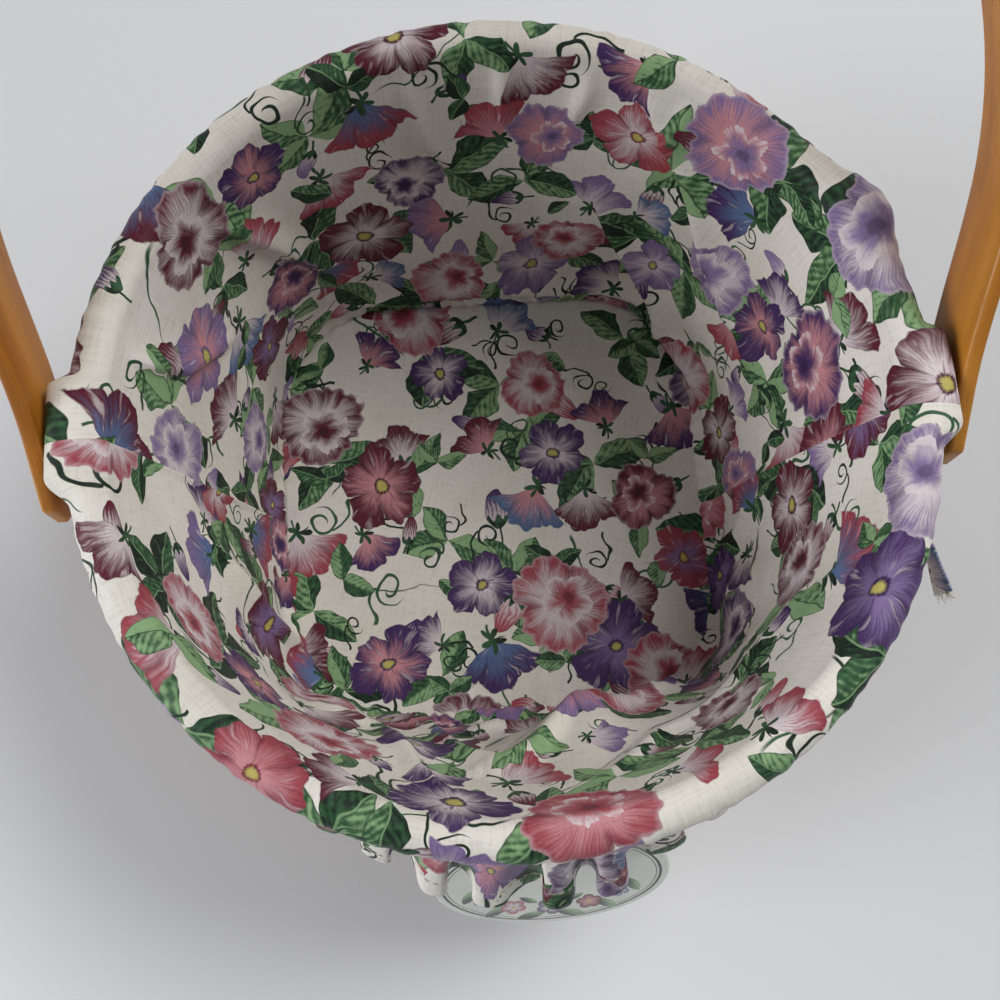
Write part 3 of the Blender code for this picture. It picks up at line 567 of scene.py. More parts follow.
def print_cloth():
    cloth = Finish("printed_cotton", Specular_IOR_Level=0.14, Sheen_Weight=0.02, Sheen_Roughness=0.5)
    place = cloth.along("cloth")
    x, y, _ = place.axes()
    threads = (x * (TURN / THREAD_PITCH)).sine() * (y * (TURN / THREAD_PITCH)).sine()
    slub = cloth.noise(cloth.join(x * 3.0, y * 0.4), 900.0, 1.0)
    warp = cloth.noise(cloth.join(x * 1.5, y * 0.13), 900.0, 2.0)
    weft = cloth.noise(cloth.join(x * 0.13, y * 1.5), 900.0, 2.0)
    faded = cloth.mix((threads * 0.5 + slub).rise(0.2, 1.0) * 0.04, print_colours(cloth, place), CREAM)
    faded = cloth.mix((warp + weft).rise(0.9, 1.35) * 0.22, faded, paint("#a89f94"), "MULTIPLY")
    rough = cloth.noise(place, 300.0, 1.0).rise(0.2, 0.8) * 0.12 + 0.38
    return cloth.wear(faded, rough, threads * 0.4 + slub, 0.00012, 0.5)


def wood(name, dark, middle, light, roughness, fine=1.0):
    """Stained wood: long grain, pores, broad tone and paler worn edges."""
    finish = Finish(name, Specular_IOR_Level=0.45)
    along, across, _ = finish.along("grain").axes()
    rim_in, rim_up, _ = finish.along("edge").axes()
    broad = finish.noise(finish.join(along * 9, across * 60), 1.0, 2.0)
    lines = finish.noise(finish.join(along * 22, across * 900 * fine + broad * 14), 1.0, 3.0)
    pores = finish.noise(finish.join(along * 120, across * 2600 * fine), 1.0, 1.0)
    colour = finish.mix((lines * 0.7 + broad * 0.5).rise(0.35, 0.85), paint(dark), paint(middle))
    colour = finish.mix((broad - lines * 0.3).rise(0.15, 0.6) * 0.7, colour, paint(light))
    colour = finish.mix(pores.rise(0.62, 0.72) * 0.55, colour, paint(dark))
    worn = (1 - (rim_in + rim_up).rise(0.0001, 0.0011)) * broad.rise(0.3, 0.6) * 0.6
    colour = finish.mix(worn, colour, paint(light))
    rough = lines.rise(0.2, 0.9) * 0.14 + roughness
    return finish.wear(colour, rough, lines * 0.7 - pores.rise(0.6, 0.75), 0.00012, 0.6)


def ear_wood():
    finish = Finish("ear_wood", Specular_IOR_Level=0.45)
    place = finish.here()
    x, y, z = place.axes()
    lines = finish.noise(finish.join(y * 26, x * 900, z * 900), 1.0, 3.0)
    broad = finish.noise(place, 160.0, 2.0)
    colour = finish.mix((lines * 0.8 + broad * 0.4).rise(0.35, 0.85), paint("#7d4d22"), paint("#b98548"))
    return finish.wear(colour, lines * 0.2 + 0.45, lines, 0.00012, 0.6)


def brass():
    finish = Finish("worn_brass", Metallic=1.0)
    place = finish.here()
    _, y, z = place.axes()
    turned = ((y * y + (z - PIVOT.z) * (z - PIVOT.z)) ** 0.5 * 9000).sine() * 0.5 + 0.5
    cloud = finish.noise(place, 420.0, 3.0)
    spots = finish.noise(place, 1500.0, 2.0)
    colour = finish.mix(cloud.rise(0.35, 0.7), paint("#d9a95a"), paint("#a9793a"))
    colour = finish.mix(spots.rise(0.62, 0.75) * 0.6, colour, paint("#6f5330"))
    return finish.wear(colour, cloud * 0.25 + turned * 0.06 + 0.2, turned * 0.4 + spots, 0.00006, 0.5)


def braid():
    finish = Finish("braid", Roughness=0.8, Specular_IOR_Level=0.2)
    along, across, _ = finish.along("grain").axes()
    ribs = (across * (TURN / 0.0011)).sine() * 0.5 + 0.5
    plait = (along * (TURN / 0.0012)).sine() * (across * (TURN / 0.0011) + along * 1200).sine()
    # Painted shade: the braid is darker where its ribs and plait are low, in the grooves
    colour = finish.mix(ribs * 0.6 + plait * 0.2, paint("#b9b4a6"), paint("#ece8dc"))
    return finish.wear(colour, None, ribs + plait * 0.5, 0.00025, 0.8)


def twine():
    finish = Finish("twine", Roughness=0.85, Specular_IOR_Level=0.2)
    place = finish.here()
    fibres = finish.noise(place, 5200.0, 3.0)
    colour = finish.mix(fibres.rise(0.3, 0.75), paint("#a79b80"), paint("#e2d8bf"))
    colour = finish.mix(finish.noise(place, 400.0, 2.0).rise(0.4, 0.7) * 0.3, colour, paint("#c9bd9f"))
    return finish.wear(colour, None, fibres, 0.00015, 0.8)


# The tag's leaves, one on each side: place, length, width and turn
TAG_LEAVES = (
    (0.0062, -0.0375, 0.0052, 0.0020, 0.3), (0.0170, -0.0335, 0.0052, 0.0020, 0.7),
    (0.0250, -0.0240, 0.0048, 0.0019, 1.1), (0.0070, -0.0285, 0.0038, 0.0014, -0.6),
)
# The tag's flowers: place, size, turn, outer and inner colour
TAG_FLOWERS = (
    (0.0, -0.0330, 0.0050, 0.3, PURPLE, PALE), (-0.0117, -0.0318, 0.0043, 1.0, ROSE, PALE),
    (0.0117, -0.0318, 0.0043, 2.0, BURGUNDY, PINK), (-0.0206, -0.0268, 0.0036, 0.2, LILAC, PALE),
    (0.0206, -0.0268, 0.0036, 0.9, SLATE, PALE),
)


def glaze():
    """A white glazed oval: a thin green line near its edge, and a small spray of flowers below the holes."""
    finish = Finish("white_glaze", Coat_Roughness=0.06, Coat_Weight=0.6, Specular_IOR_Level=0.5)
    place = finish.along("face")
    x, y, _ = place.axes()
    tone = finish.noise(place, 60.0, 2.0)
    colour = finish.mix(tone.rise(0.3, 0.7), paint("#dfe0d8"), paint("#c9d0c8"))
    y_mid = y + TAG_DROP

    def off_oval(inset):
        wide, tall = 1 / (TAG_HALF_WIDTH - inset), 1 / (TAG_HALF_HEIGHT - inset)
        return abs(((x * wide) * (x * wide) + (y_mid * tall) * (y_mid * tall)) ** 0.5 - 1)

    def leaf(colour, cx, cy, length, width, turn):
        dx, dy = x - cx, y - cy
        u = (dx * math.cos(turn) + dy * math.sin(turn)) * (1 / length)
        v = (dy * math.cos(turn) - dx * math.sin(turn)) * (1 / width)
        bulge = (1 - u * u).most(0.0)
        shade = finish.mix((u * 0.6 + v * 0.5 + tone).rise(0.0, 1.0), DARK_LEAF, LIGHT_LEAF)
        colour = finish.mix((bulge * bulge - v * v).rise(0.0, 0.12), colour, shade)
        return finish.mix((1 - abs(v).rise(0.05, 0.14)) * (1 - abs(u).rise(0.75, 0.85)) * 0.5, colour, DARK_LEAF)

    def blossom(colour, cx, cy, size, turn, low, high):
        dx, dy = x - cx, y - cy
        reach = (dx * dx + dy * dy) ** 0.5
        angle = dy.maths("ARCTAN2", dx)
        lobe = abs((angle * 2.5 + turn).cosine())
        edge = reach / ((lobe ** 0.5 * 0.35 + 0.65) * size)
        petal = finish.mix((edge + (angle * 23).sine() * 0.12).rise(0.2, 0.95), high, low)
        petal = finish.mix((1 - lobe.rise(0.03, 0.35)) * 0.6, petal, DEEP_PURPLE)
        colour = finish.mix(1 - edge.rise(0.92, 1.0), colour, petal)
        return finish.mix(1 - (reach * (1 / size)).rise(0.14, 0.2), colour, paint("#c9b35a"))

    colour = finish.mix(1 - off_oval(0.0031).rise(0.010, 0.016), colour, DARK_LEAF)
    colour = finish.mix((1 - off_oval(0.0043).rise(0.004, 0.009)) * 0.8, colour, SAGE)
    for cx, cy, length, width, turn in TAG_LEAVES:
        for side in (-1, 1):
            colour = leaf(colour, side * cx, cy, length, width, -side * turn)
    for flower in TAG_FLOWERS:
        colour = blossom(colour, *flower)
    crazing = finish.noise(place, 900.0, 2.0)
    return finish.wear(colour, crazing * 0.08 + 0.1, finish.noise(place, 240.0, 1.0), 0.0002, 0.25)


FINISHES = {
    "splint_wood": wood("splint_wood", "#7a4a20", "#b07c42", "#d3aa70", 0.48),
    "handle_wood": wood("handle_wood", "#8f5210", "#be7720", "#d6963c", 0.34, 0.7),
    "print_cloth": print_cloth(),
    "brass": brass(),
    "elastic": braid(),
    "cord": twine(),
    "glazed_tag": glaze(),
}
EAR_WOOD = ear_wood()


# Mesh making

def smooth_share(value):
    held = np.clip(value, 0.0, 1.0)
    return held * held * (3 - 2 * held)


def units(vectors):
    return vectors / np.linalg.norm(vectors, axis=-1, keepdims=True)


def joined(grid):
    """A grid with its first column once more at the end."""
    return np.concatenate([grid, grid[:, :1]], axis=1)


def corners(grid):
    """The values at the four corners of each cell of a grid."""
    return np.stack([grid[:-1, :-1], grid[:-1, 1:], grid[1:, 1:], grid[1:, :-1]], axis=2)


def run_along(points):
    """The length along a line up to each of its points."""
    return np.concatenate([[0], np.cumsum(np.linalg.norm(np.diff(points, axis=0), axis=1))])


def rise_down(points):
    """The mean length down a grid of points to each of its rows, as a column."""
    steps = np.linalg.norm(np.diff(points, axis=0), axis=-1).mean(axis=1)
    return np.concatenate([[0], np.cumsum(steps)])[:, None]


def write_uv(mesh, layer, values):
    if layer not in mesh.uv_layers:
        mesh.uv_layers.new(name=layer)
    mesh.uv_layers[layer].data.foreach_set("uv", np.asarray(values, np.float32).ravel())


@contextlib.contextmanager
def working(mesh):
    """A mesh open for work, and written back at the end."""
    work = bmesh.new()
    work.from_mesh(mesh)
    yield work
    work.to_mesh(mesh)
    work.free()


def face_out(work):
    bmesh.ops.recalc_face_normals(work, faces=work.faces)


def close_up(mesh):
    """Turn a closed mesh's faces outwards."""
    with working(mesh) as work:
        face_out(work)
    return mesh


def make_object(name, mesh, slot, node=None, body="basket", finish=None, sharp=None):
    """A finished piece on its body, in place of the node that it stands for."""
    item = put(name, mesh)
    mesh.materials.clear()
    mesh.materials.append(finish or FINISHES[slot])
    mesh.shade_smooth()
    if sharp:
        mesh.set_sharp_from_angle(angle=math.radians(sharp))
    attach(item, body)
    if node:
        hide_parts(node)
    return item


def grid_mesh(name, points, uvs, closed=False):
    """A sheet from a grid of points, rows by columns; closed joins the last column to the first."""
    rows, columns = points.shape[:2]
    index = np.arange(rows * columns).reshape(rows, columns)
    quads = corners(joined(index) if closed else index).reshape(-1, 4)
    mesh = bpy.data.meshes.new(name)
    mesh.from_pydata(points.reshape(-1, 3).tolist(), [], quads.tolist())
    write_uv(mesh, "cloth", corners(uvs))
    mesh.update()
    return mesh


def thicken(item, thickness, offset=-1.0):
    shell = item.modifiers.new("cloth thickness", "SOLIDIFY")
    shell.thickness = thickness
    shell.offset = offset
    shell.use_even_offset = False


def declare(item, points, closed=False):
    """Give a piece of cloth its thickness; the points that it was cut to are not used."""
    if closed:
        points = joined(points)
    thicken(item, CLOTH)


def square_radius(angle, half, corner):
    """Distance from the centre to a rounded square's edge."""
    turn = np.abs((angle + math.pi / 4) % (math.pi / 2) - math.pi / 4)
    straight = half - corner
    along = straight * (np.cos(turn) + np.sin(turn))
    across = straight * (np.cos(turn) - np.sin(turn))
    curve = along + np.sqrt(np.maximum(corner**2 - across**2, 0))
    return np.where(half * np.tan(turn) <= straight, half / np.cos(turn), curve)


def waves(angle, counts, phases, weights):
    return sum(w * np.sin(n * angle + p) for n, p, w in zip(counts, phases, weights))


# Liner

# Folds of the wall: half width and depth in millimetres, then the azimuth and height share of each point
WALL_FOLDS = (
    (4.2, 5.0, (62, 1.0), (52, 0.84), (47, 0.74), (41, 0.59), (29, 0.48), (12, 0.50)),
    (4.0, 4.6, (66, 0.62), (59, 0.41), (51, 0.24), (40, 0.08), (24, 0.05)),
    (4.0, 3.4, (132, 0.10), (112, 0.07), (96, 0.10), (69, 0.07), (52, 0.10), (33, 0.08), (14, 0.07)),
    (4.2, 4.2, (193, 0.62), (203, 0.41), (213, 0.06), (226, 0.03)),
    (5.0, 4.6, (236, 0.03), (247, 0.22), (258, 0.60), (264, 0.70), (272, 0.62), (281, 0.44), (292, 0.40),
     (306, 0.30)),
    (3.5, 2.6, (229, 0.42), (241, 0.48), (251, 0.80), (258, 0.95)),
    (4.0, 2.8, (262, 0.18), (274, 0.10), (288, 0.22), (301, 0.08)),
    (3.0, 2.0, (281, 0.86), (294, 0.70), (312, 0.66), (328, 0.72)),
    (3.0, 2.4, (87, 1.04), (86, 0.84)),
    (3.0, 2.4, (72, 1.04), (74, 0.88)),
    (2.8, 2.2, (55, 1.04), (57, 0.90)),
    (3.0, 2.0, (103, 1.04), (100, 0.80), (94, 0.66)),
    (3.4, 2.6, (141, 0.92), (132, 0.62), (126, 0.40)),
    (3.2, 2.4, (168, 0.98), (163, 0.76), (152, 0.58)),
    (3.5, 2.2, (352, 0.30), (341, 0.12), (330, 0.05)),
    (2.6, 1.5, (336, 0.96), (329, 0.80)),
    (1.3, 0.9, (356, 0.98), (356, 0.05)),
    (1.3, 0.9, (182, 0.98), (182, 0.05)),
)
# Places where the loose cloth stands off: azimuth, height share, half widths in degrees and share, millimetres
WALL_SWELLS = (
    (280, 0.46, 16, 0.20, 8.0), (305, 0.30, 11, 0.15, 5.0), (246, 0.60, 9, 0.18, 3.5), (229, 0.22, 9, 0.15, 3.2),
    (328, 0.20, 11, 0.14, 3.0), (36, 0.28, 12, 0.15, 3.4), (68, 0.55, 10, 0.2, 2.4), (100, 0.30, 15, 0.15, 2.4),
    (150, 0.35, 14, 0.2, 2.2), (262, 0.16, 10, 0.1, 3.0), (318, 0.66, 12, 0.15, 2.6),
)
# The wall laid flat: millimetres to a degree, and its height in millimetres
FLAT_DEGREE = 1.66
FLAT_HEIGHT = 112
# The print changes at the two side seams, here in radians
SIDE_SEAMS = (math.radians(-4.0), math.radians(182.0))


def wall_fold(angle, share):
    """How far the liner wall's folds reach inwards, and how far their crests lean sideways, in metres."""
    degrees = np.degrees(angle) % 360
    fold = np.zeros(np.broadcast_shapes(angle.shape, share.shape))
    for width, depth, *route in WALL_FOLDS:
        best = np.full_like(fold, 1e9)
        length = len(route) - 1
        for k, ((az0, s0), (az1, s1)) in enumerate(zip(route, route[1:])):
            for shift in (-360, 0, 360):
                x0, y0 = (az0 + shift) * FLAT_DEGREE, s0 * FLAT_HEIGHT
                dx, dy = (az1 + shift) * FLAT_DEGREE - x0, s1 * FLAT_HEIGHT - y0
                px, py = degrees * FLAT_DEGREE - x0, share * FLAT_HEIGHT - y0
                t = np.clip((px * dx + py * dy) / (dx * dx + dy * dy), 0, 1)
                end = np.abs((k + t) / length - 0.5) * 2
                apart = np.hypot(px - t * dx, py - t * dy) * np.where(dx * py - dy * px > 0, 1.5, 0.8)
                best = np.minimum(best, apart + width * 0.8 * end**3)
        fold += 1.1 * depth * np.exp(-(best / width) ** 1.6)
    lean = 0.3 * fold * np.clip((1 - share) / 0.12, 0, 1) * np.clip(share / 0.1, 0, 1)
    for azimuth, middle, wide, tall, depth in WALL_SWELLS:
        off = (degrees - azimuth + 180) % 360 - 180
        fold += depth * np.exp(-((off / wide) ** 2) - ((share - middle) / tall) ** 2)
    drift = waves(angle, (5, 9, 14), (0.4, 2.1, 4.4), (0.5, 0.35, 0.2))
    drift = drift + waves(angle + share * 0.5, (23, 31), (1.0, 3.0), (0.16, 0.1))
    front = smooth_share(-np.sin(angle) * 1.4)
    sway = np.sin(9 * angle + 2.2 * share + 1.2 * np.sin(2 * angle)) + 0.4 * np.sin(21 * angle - 5 * share)
    ripple = 3.0 * front * sway * np.exp(-((share - 0.28) / 0.26) ** 2)
    body = np.sin(math.pi * np.clip(share, 0, 1)) ** 0.8
    return np.maximum(fold + (1.15 + drift) * body + ripple, 0.0) * 0.001, lean * 0.001


def roll_reach(angle):
    """Outer radius of the roll: it covers the ears, and swells beside the right one."""
    place = ROLL_OUT * np.sin(angle)
    fade = EAR_WIDTH * np.where(place > 0, 0.2, 0.45)
    lift = smooth_share(1 - (np.abs(place) - HALF_GAP) / fade)
    swell = 0.007 * np.exp(-((np.angle(np.exp(1j * (angle - math.radians(26.0)))) / math.radians(6.0)) ** 2))
    covered = EAR_COVER / np.maximum(np.abs(np.cos(angle)), 0.3)
    return ROLL_OUT + (covered - ROLL_OUT) * lift + swell


def liner_wall():
    columns = 600
    angle = (np.arange(columns) / columns * TURN)[None, :]
    share = np.concatenate([np.linspace(0, 0.12, 9)[:-1], np.linspace(0.12, 1, 46)])[:, None]
    base = square_radius(angle, LINER_HALF, LINER_CORNER)
    tuck = smooth_share(np.sin(angle - 0.45) * 1.5 + 0.4)
    foot = (0.0052 - 0.0036 * tuck) * np.clip(1 - share / 0.085, 0, 1) ** 2
    pucker = 0.00045 * np.sin(83 * angle + 2 * np.sin(7 * angle)) * np.exp(-share / 0.06)
    fold, lean = wall_fold(angle, share)
    radius = base + (LINER_TOP_RADIUS - base) * share - fold - foot - pucker
    lean = lean / radius
    height = FLOOR_Z + (LINER_TURN - FLOOR_Z) * share + 0 * angle
    outer = roll_reach(angle)
    free = smooth_share((np.abs(np.sin(angle)) - 0.12) / 0.15)
    gather = 0.00014 * waves(angle, (97, 61, 131), (0.0, 1.0, 2.0), (1.0, 0.7, 0.5)) * (0.15 + 0.85 * free)
    turns = np.linspace(0, math.pi, 15)[:, None]
    middle, half = (ROLL_LEG + outer) / 2, (outer - ROLL_LEG) / 2
    plump = 1 + 0.06 * waves(angle, (6, 11), (0.3, 2.0), (1.0, 0.8))
    roll_radius = middle - half * np.cos(turns) + gather * np.sin(turns / 2) ** 2
    roll_height = ROLL_SPRING + ROLL_CROWN * plump * np.sin(turns) ** 0.85 + gather * 0.6
    leg = np.linspace(0, 1, 5)[1:, None]
    leg_height = ROLL_SPRING + (ROLL_FOOT - ROLL_SPRING) * leg + 0 * angle
    radius = np.concatenate([radius, roll_radius, outer + gather * (1 + leg)])
    height = np.concatenate([height, roll_height, leg_height])
    around = angle + 0 * radius
    around[:len(lean)] += lean
    points = np.stack([radius * np.cos(around), radius * np.sin(around), height], axis=-1)
    rise = rise_down(points)
    turn = np.linspace(0, TURN, columns + 1)[None, :]
    uvs = np.stack([turn * PRINT_RADIUS + 0 * rise, rise + 0 * turn], axis=-1)
    mesh = grid_mesh("liner_wall_cloth", points, uvs, closed=True)
    middles = (np.arange(columns) + 0.5) / columns * TURN
    last = middles > SIDE_SEAMS[0] + TURN
    behind = last | (middles < SIDE_SEAMS[1])
    laid = corners(uvs)
    laid[:, last] -= (TURN * PRINT_RADIUS, 0)
    laid[:, behind] += (0.41, 0.173)
    write_uv(mesh, "cloth", laid)
    item = make_object("liner_wall_cloth", mesh, "print_cloth", "liner_wall")
    declare(item, points, closed=True)


def floor_print(x, y):
    """Where a point of the floor lies in the print, which is turned a little there."""
    return x * 0.94 - y * 0.34 + 0.93, x * 0.34 + y * 0.94 + 0.31


def liner_floor():
    columns = 240
    angle = (np.arange(columns) / columns * TURN)[None, :]
    share = np.linspace(0.02, 1, 34)[:, None] ** 0.8
    edge = square_radius(angle, LINER_HALF, LINER_CORNER) - 0.0012
    x, y = edge * share * np.cos(angle), edge * share * np.sin(angle)
    swell = 0.0006 * np.sin(x * 61 + 1.0) * np.sin(y * 47 + 0.5) + 0.0003 * np.sin((x + y) * 90)
    pucker = 0.0004 * np.sin(47 * angle + 3 * np.sin(5 * angle)) * np.exp((share - 1) / 0.09)
    height = FLOOR_Z + 0.0013 + swell + pucker - 0.0003 * smooth_share((share - 0.93) / 0.07)
    points = np.stack([x, y, height], axis=-1)
    wide = joined(points)
    mesh = grid_mesh("liner_floor_cloth", points, np.stack(floor_print(wide[..., 0], wide[..., 1]), axis=-1),
                     closed=True)
    with working(mesh) as work:
        layer = work.loops.layers.uv["cloth"]
        work.verts.ensure_lookup_table()
        middle = work.faces.new([work.verts[k] for k in range(columns)])
        for loop in middle.loops:
            loop[layer].uv = floor_print(loop.vert.co.x, loop.vert.co.y)
        face_out(work)
        if middle.normal.z < 0:
            bmesh.ops.reverse_faces(work, faces=work.faces)
    item = make_object("liner_floor_cloth", mesh, "print_cloth", "liner_floor")
    declare(item, points, closed=True)


# Strips of wood and cloth

def strip_mesh(name, centres, across, out, widths, depths, edge, closed=False, corner=3, start=0.0):
    """A long bar of rounded rectangular section along a row of centres, with its grain laid along it."""
    centres, across, out = (np.asarray(v, float) for v in (centres, across, out))
    count = len(centres)
    widths, depths = (np.broadcast_to(v, count).astype(float) for v in (widths, depths))
    shrink = np.zeros(count)
    if not closed:
        first, last = units(centres[0] - centres[1]), units(centres[-1] - centres[-2])
        for share in (0.6, 0.95):
            centres = np.concatenate([[centres[0] + first * edge * 0.45], centres, [centres[-1] + last * edge * 0.45]])
            across, out, widths, depths = (np.concatenate([v[:1], v, v[-1:]]) for v in (across, out, widths, depths))
            shrink = np.concatenate([[share], shrink, [share]])
    quarters = ((1, 1, 0), (-1, 1, math.pi / 2), (-1, -1, math.pi), (1, -1, 1.5 * math.pi))
    shape = np.array([(sx, sy, math.cos(turn + t), math.sin(turn + t))
                      for sx, sy, turn in quarters for t in np.linspace(0, math.pi / 2, corner)])
    round_edge = (edge * (1 - shrink * 0.7))[:, None]
    x = shape[:, 0] * (widths[:, None] / 2 - edge) + shape[:, 2] * round_edge
    y = shape[:, 1] * (depths[:, None] / 2 - edge) + shape[:, 3] * round_edge
    points = centres[:, None] + across[:, None] * x[..., None] + out[:, None] * y[..., None]
    rows, columns = points.shape[:2]
    index = joined(np.arange(rows * columns).reshape(rows, columns))
    if closed:
        index = np.concatenate([index, index[:1]])
    faces = corners(index).reshape(-1, 4).tolist()
    if not closed:
        faces += [index[0, :-1].tolist(), index[-1, :-1].tolist()]
    mesh = bpy.data.meshes.new(name)
    mesh.from_pydata(points.reshape(-1, 3).tolist(), [], faces)
    run = run_along(np.concatenate([centres, centres[:1]]) if closed else centres) + start
    middle = np.stack([x[rows // 2], y[rows // 2]], axis=-1)
    around = run_along(np.concatenate([middle, middle[:1]]))
    grain = corners(np.stack(np.meshgrid(run, around, indexing="ij"), axis=-1)).reshape(-1, 2)
    gap = np.stack([widths[:, None] / 2 - np.abs(x), depths[:, None] / 2 - np.abs(y)], axis=-1).reshape(-1, 2)
    loops = np.zeros(len(mesh.loops), np.int32)
    mesh.loops.foreach_get("vertex_index", loops)
    caps = points.reshape(-1, 3)[loops[len(grain):]]
    write_uv(mesh, "grain", np.concatenate([grain, caps[:, 1:] + caps[:, :1]]))
    write_uv(mesh, "edge", gap[loops])
    return close_up(mesh)


SIDES = (
    (Vector((0, -1, 0)), Vector((1, 0, 0))),
    (Vector((1, 0, 0)), Vector((0, 1, 0))),
    (Vector((0, 1, 0)), Vector((-1, 0, 0))),
    (Vector((-1, 0, 0)), Vector((0, -1, 0))),
)
UP = Vector((0, 0, 1))
STRAIGHT = BASE_HALF - BASE_CORNER


def base_edge(along):
    """How far out the base reaches at a place along its side, and how far its edge has turned there."""
    past = max(abs(along) - STRAIGHT, 0.0)
    return STRAIGHT + math.sqrt(BASE_CORNER**2 - past**2), math.copysign(math.asin(past / BASE_CORNER), along)


def facing(side, turn):
    """The directions along a side's wall and out of it, turned by an angle."""
    outward, sideways = SIDES[side]
    return (sideways * math.cos(turn) - outward * math.sin(turn),
            outward * math.cos(turn) + sideways * math.sin(turn))


def wall_frame(side, index, height):
    """Centre, sideways direction and outward direction of the wall, at an upright's place, whole or between."""
    outward, sideways = SIDES[side]
    spare = STRAIGHT + BASE_CORNER * math.sqrt(0.5) - 3.5 * SPLINT_PITCH
    along = index * SPLINT_PITCH + math.copysign(max(abs(index) - 3, 0) / 0.5 * spare, index)
    reach, base_turn = base_edge(along)
    rim_turn = index * TURN / UPRIGHTS
    share = min(max((height - WALL_FOOT) / (BAND_FOOT - WALL_FOOT), 0.0), 1.0)
    out = reach + (RIM_RADIUS * math.cos(rim_turn) - reach) * share
    across = along + (RIM_RADIUS * math.sin(rim_turn) - along) * share
    centre = outward * out + sideways * across + UP * height
    return centre, *facing(side, base_turn + (rim_turn - base_turn) * share)


def climb_line(side, index, layer):
    """Centres and directions of a splint from the bend at the base up to the rim."""
    outward, sideways = SIDES[side]
    along = index * SPLINT_PITCH
    reach, base_turn = base_edge(along)
    line = []
    for step in range(12):
        angle = step / 12 * math.pi / 2
        out = reach - BEND_RADIUS * (1 - math.sin(angle))
        centre = outward * out + sideways * along + UP * (layer + BEND_RADIUS * (1 - math.cos(angle)))
        tangent, normal = facing(side, base_turn * step / 12)
        line.append((centre, tangent, normal * math.sin(angle) - UP * math.cos(angle)))
    heights = [*np.linspace(WALL_FOOT, BAND_FOOT, 26), *np.linspace(BAND_FOOT, BASKET_HEIGHT - 0.0006, 5)[1:]]
    return line + [wall_frame(side, index, float(height)) for height in heights]


def splint(family, start_side, index):
    outward, sideways = SIDES[start_side]
    flat = SPLINT_WIDTH / 2 + 0.0008
    gap = SPLINT_PITCH - 2 * flat
    layers = [UPPER_LAYER if (index + j + start_side) % 2 == 0 else LOWER_LAYER for j in range(-3, 4)]
    crossing = []
    for k, layer in enumerate(layers):
        base = sideways * (index * SPLINT_PITCH) - outward * ((k - 3) * SPLINT_PITCH)
        crossing += [(base - outward * end + UP * layer, sideways, -UP) for end in (-flat, 0.0, flat)]
        for share in (0.2, 0.4, 0.6, 0.8) if k < 6 else ():
            rise = layer + (layers[k + 1] - layer) * float(smooth_share(share))
            crossing.append((base - outward * (flat + gap * share) + UP * rise, sideways, -UP))
    near = climb_line(start_side, index, layers[0])
    far = climb_line((start_side + 2) % 4, -index, layers[-1])
    far = [(centre, -tangent, normal) for centre, tangent, normal in far]
    centres, across, out = zip(*(near[::-1] + crossing + far))
    sway = np.random.default_rng(int(index + 40 + start_side * 9)).normal(0, 1, 8)
    run = np.linspace(0, 1, len(centres))
    widths = SPLINT_WIDTH + 0.00018 * sum(sway[k] * np.sin((k + 2) * 3.1 * run + sway[k + 4]) for k in range(4))
    node = f"splint_{family}_{index + 4}"
    mesh = strip_mesh(node + "_strip", centres, across, out, widths, SPLINT_THICKNESS, WOOD_EDGE,
                      start=float(index + 4 + start_side * 3))
    make_object(node + "_strip", mesh, "splint_wood", node)


def weaver_tree():
    """Lays a strip along a guide, stepped in and out by its beat, with its width up the wall."""
    tree = Growth("laced_weaver", "Step", "Width", "Thickness", "Edge")
    out = tree.attribute("outward", "FLOAT_VECTOR")
    step = tree.add("ShaderNodeVectorMath", {"operation": "SCALE"},
                    {0: out, "Scale": tree.attribute("beat") * tree.input("Step")})
    line = tree.add("GeometryNodeSetPosition", {}, {"Geometry": tree.guide(), "Offset": step})
    line = tree.add("GeometryNodeSetCurveNormal", {"mode": "FREE"}, {"Curve": line, "Normal": out})
    line = tree.store(line, "along", tree.run())
    section = tree.add("GeometryNodeCurvePrimitiveQuadrilateral", {},
                       {"Width": tree.input("Thickness"), "Height": tree.input("Width")})
    section = tree.add("GeometryNodeFilletCurve", {}, {"Curve": section, "Radius": tree.input("Edge")})
    section = tree.store(section, "around", tree.run())
    both = tree.join(tree.attribute("along"), tree.attribute("around"))
    made = tree.store(tree.sweep(line, section), "grain", both, "FLOAT2", "CORNER")
    return tree.end(made, FINISHES["splint_wood"])


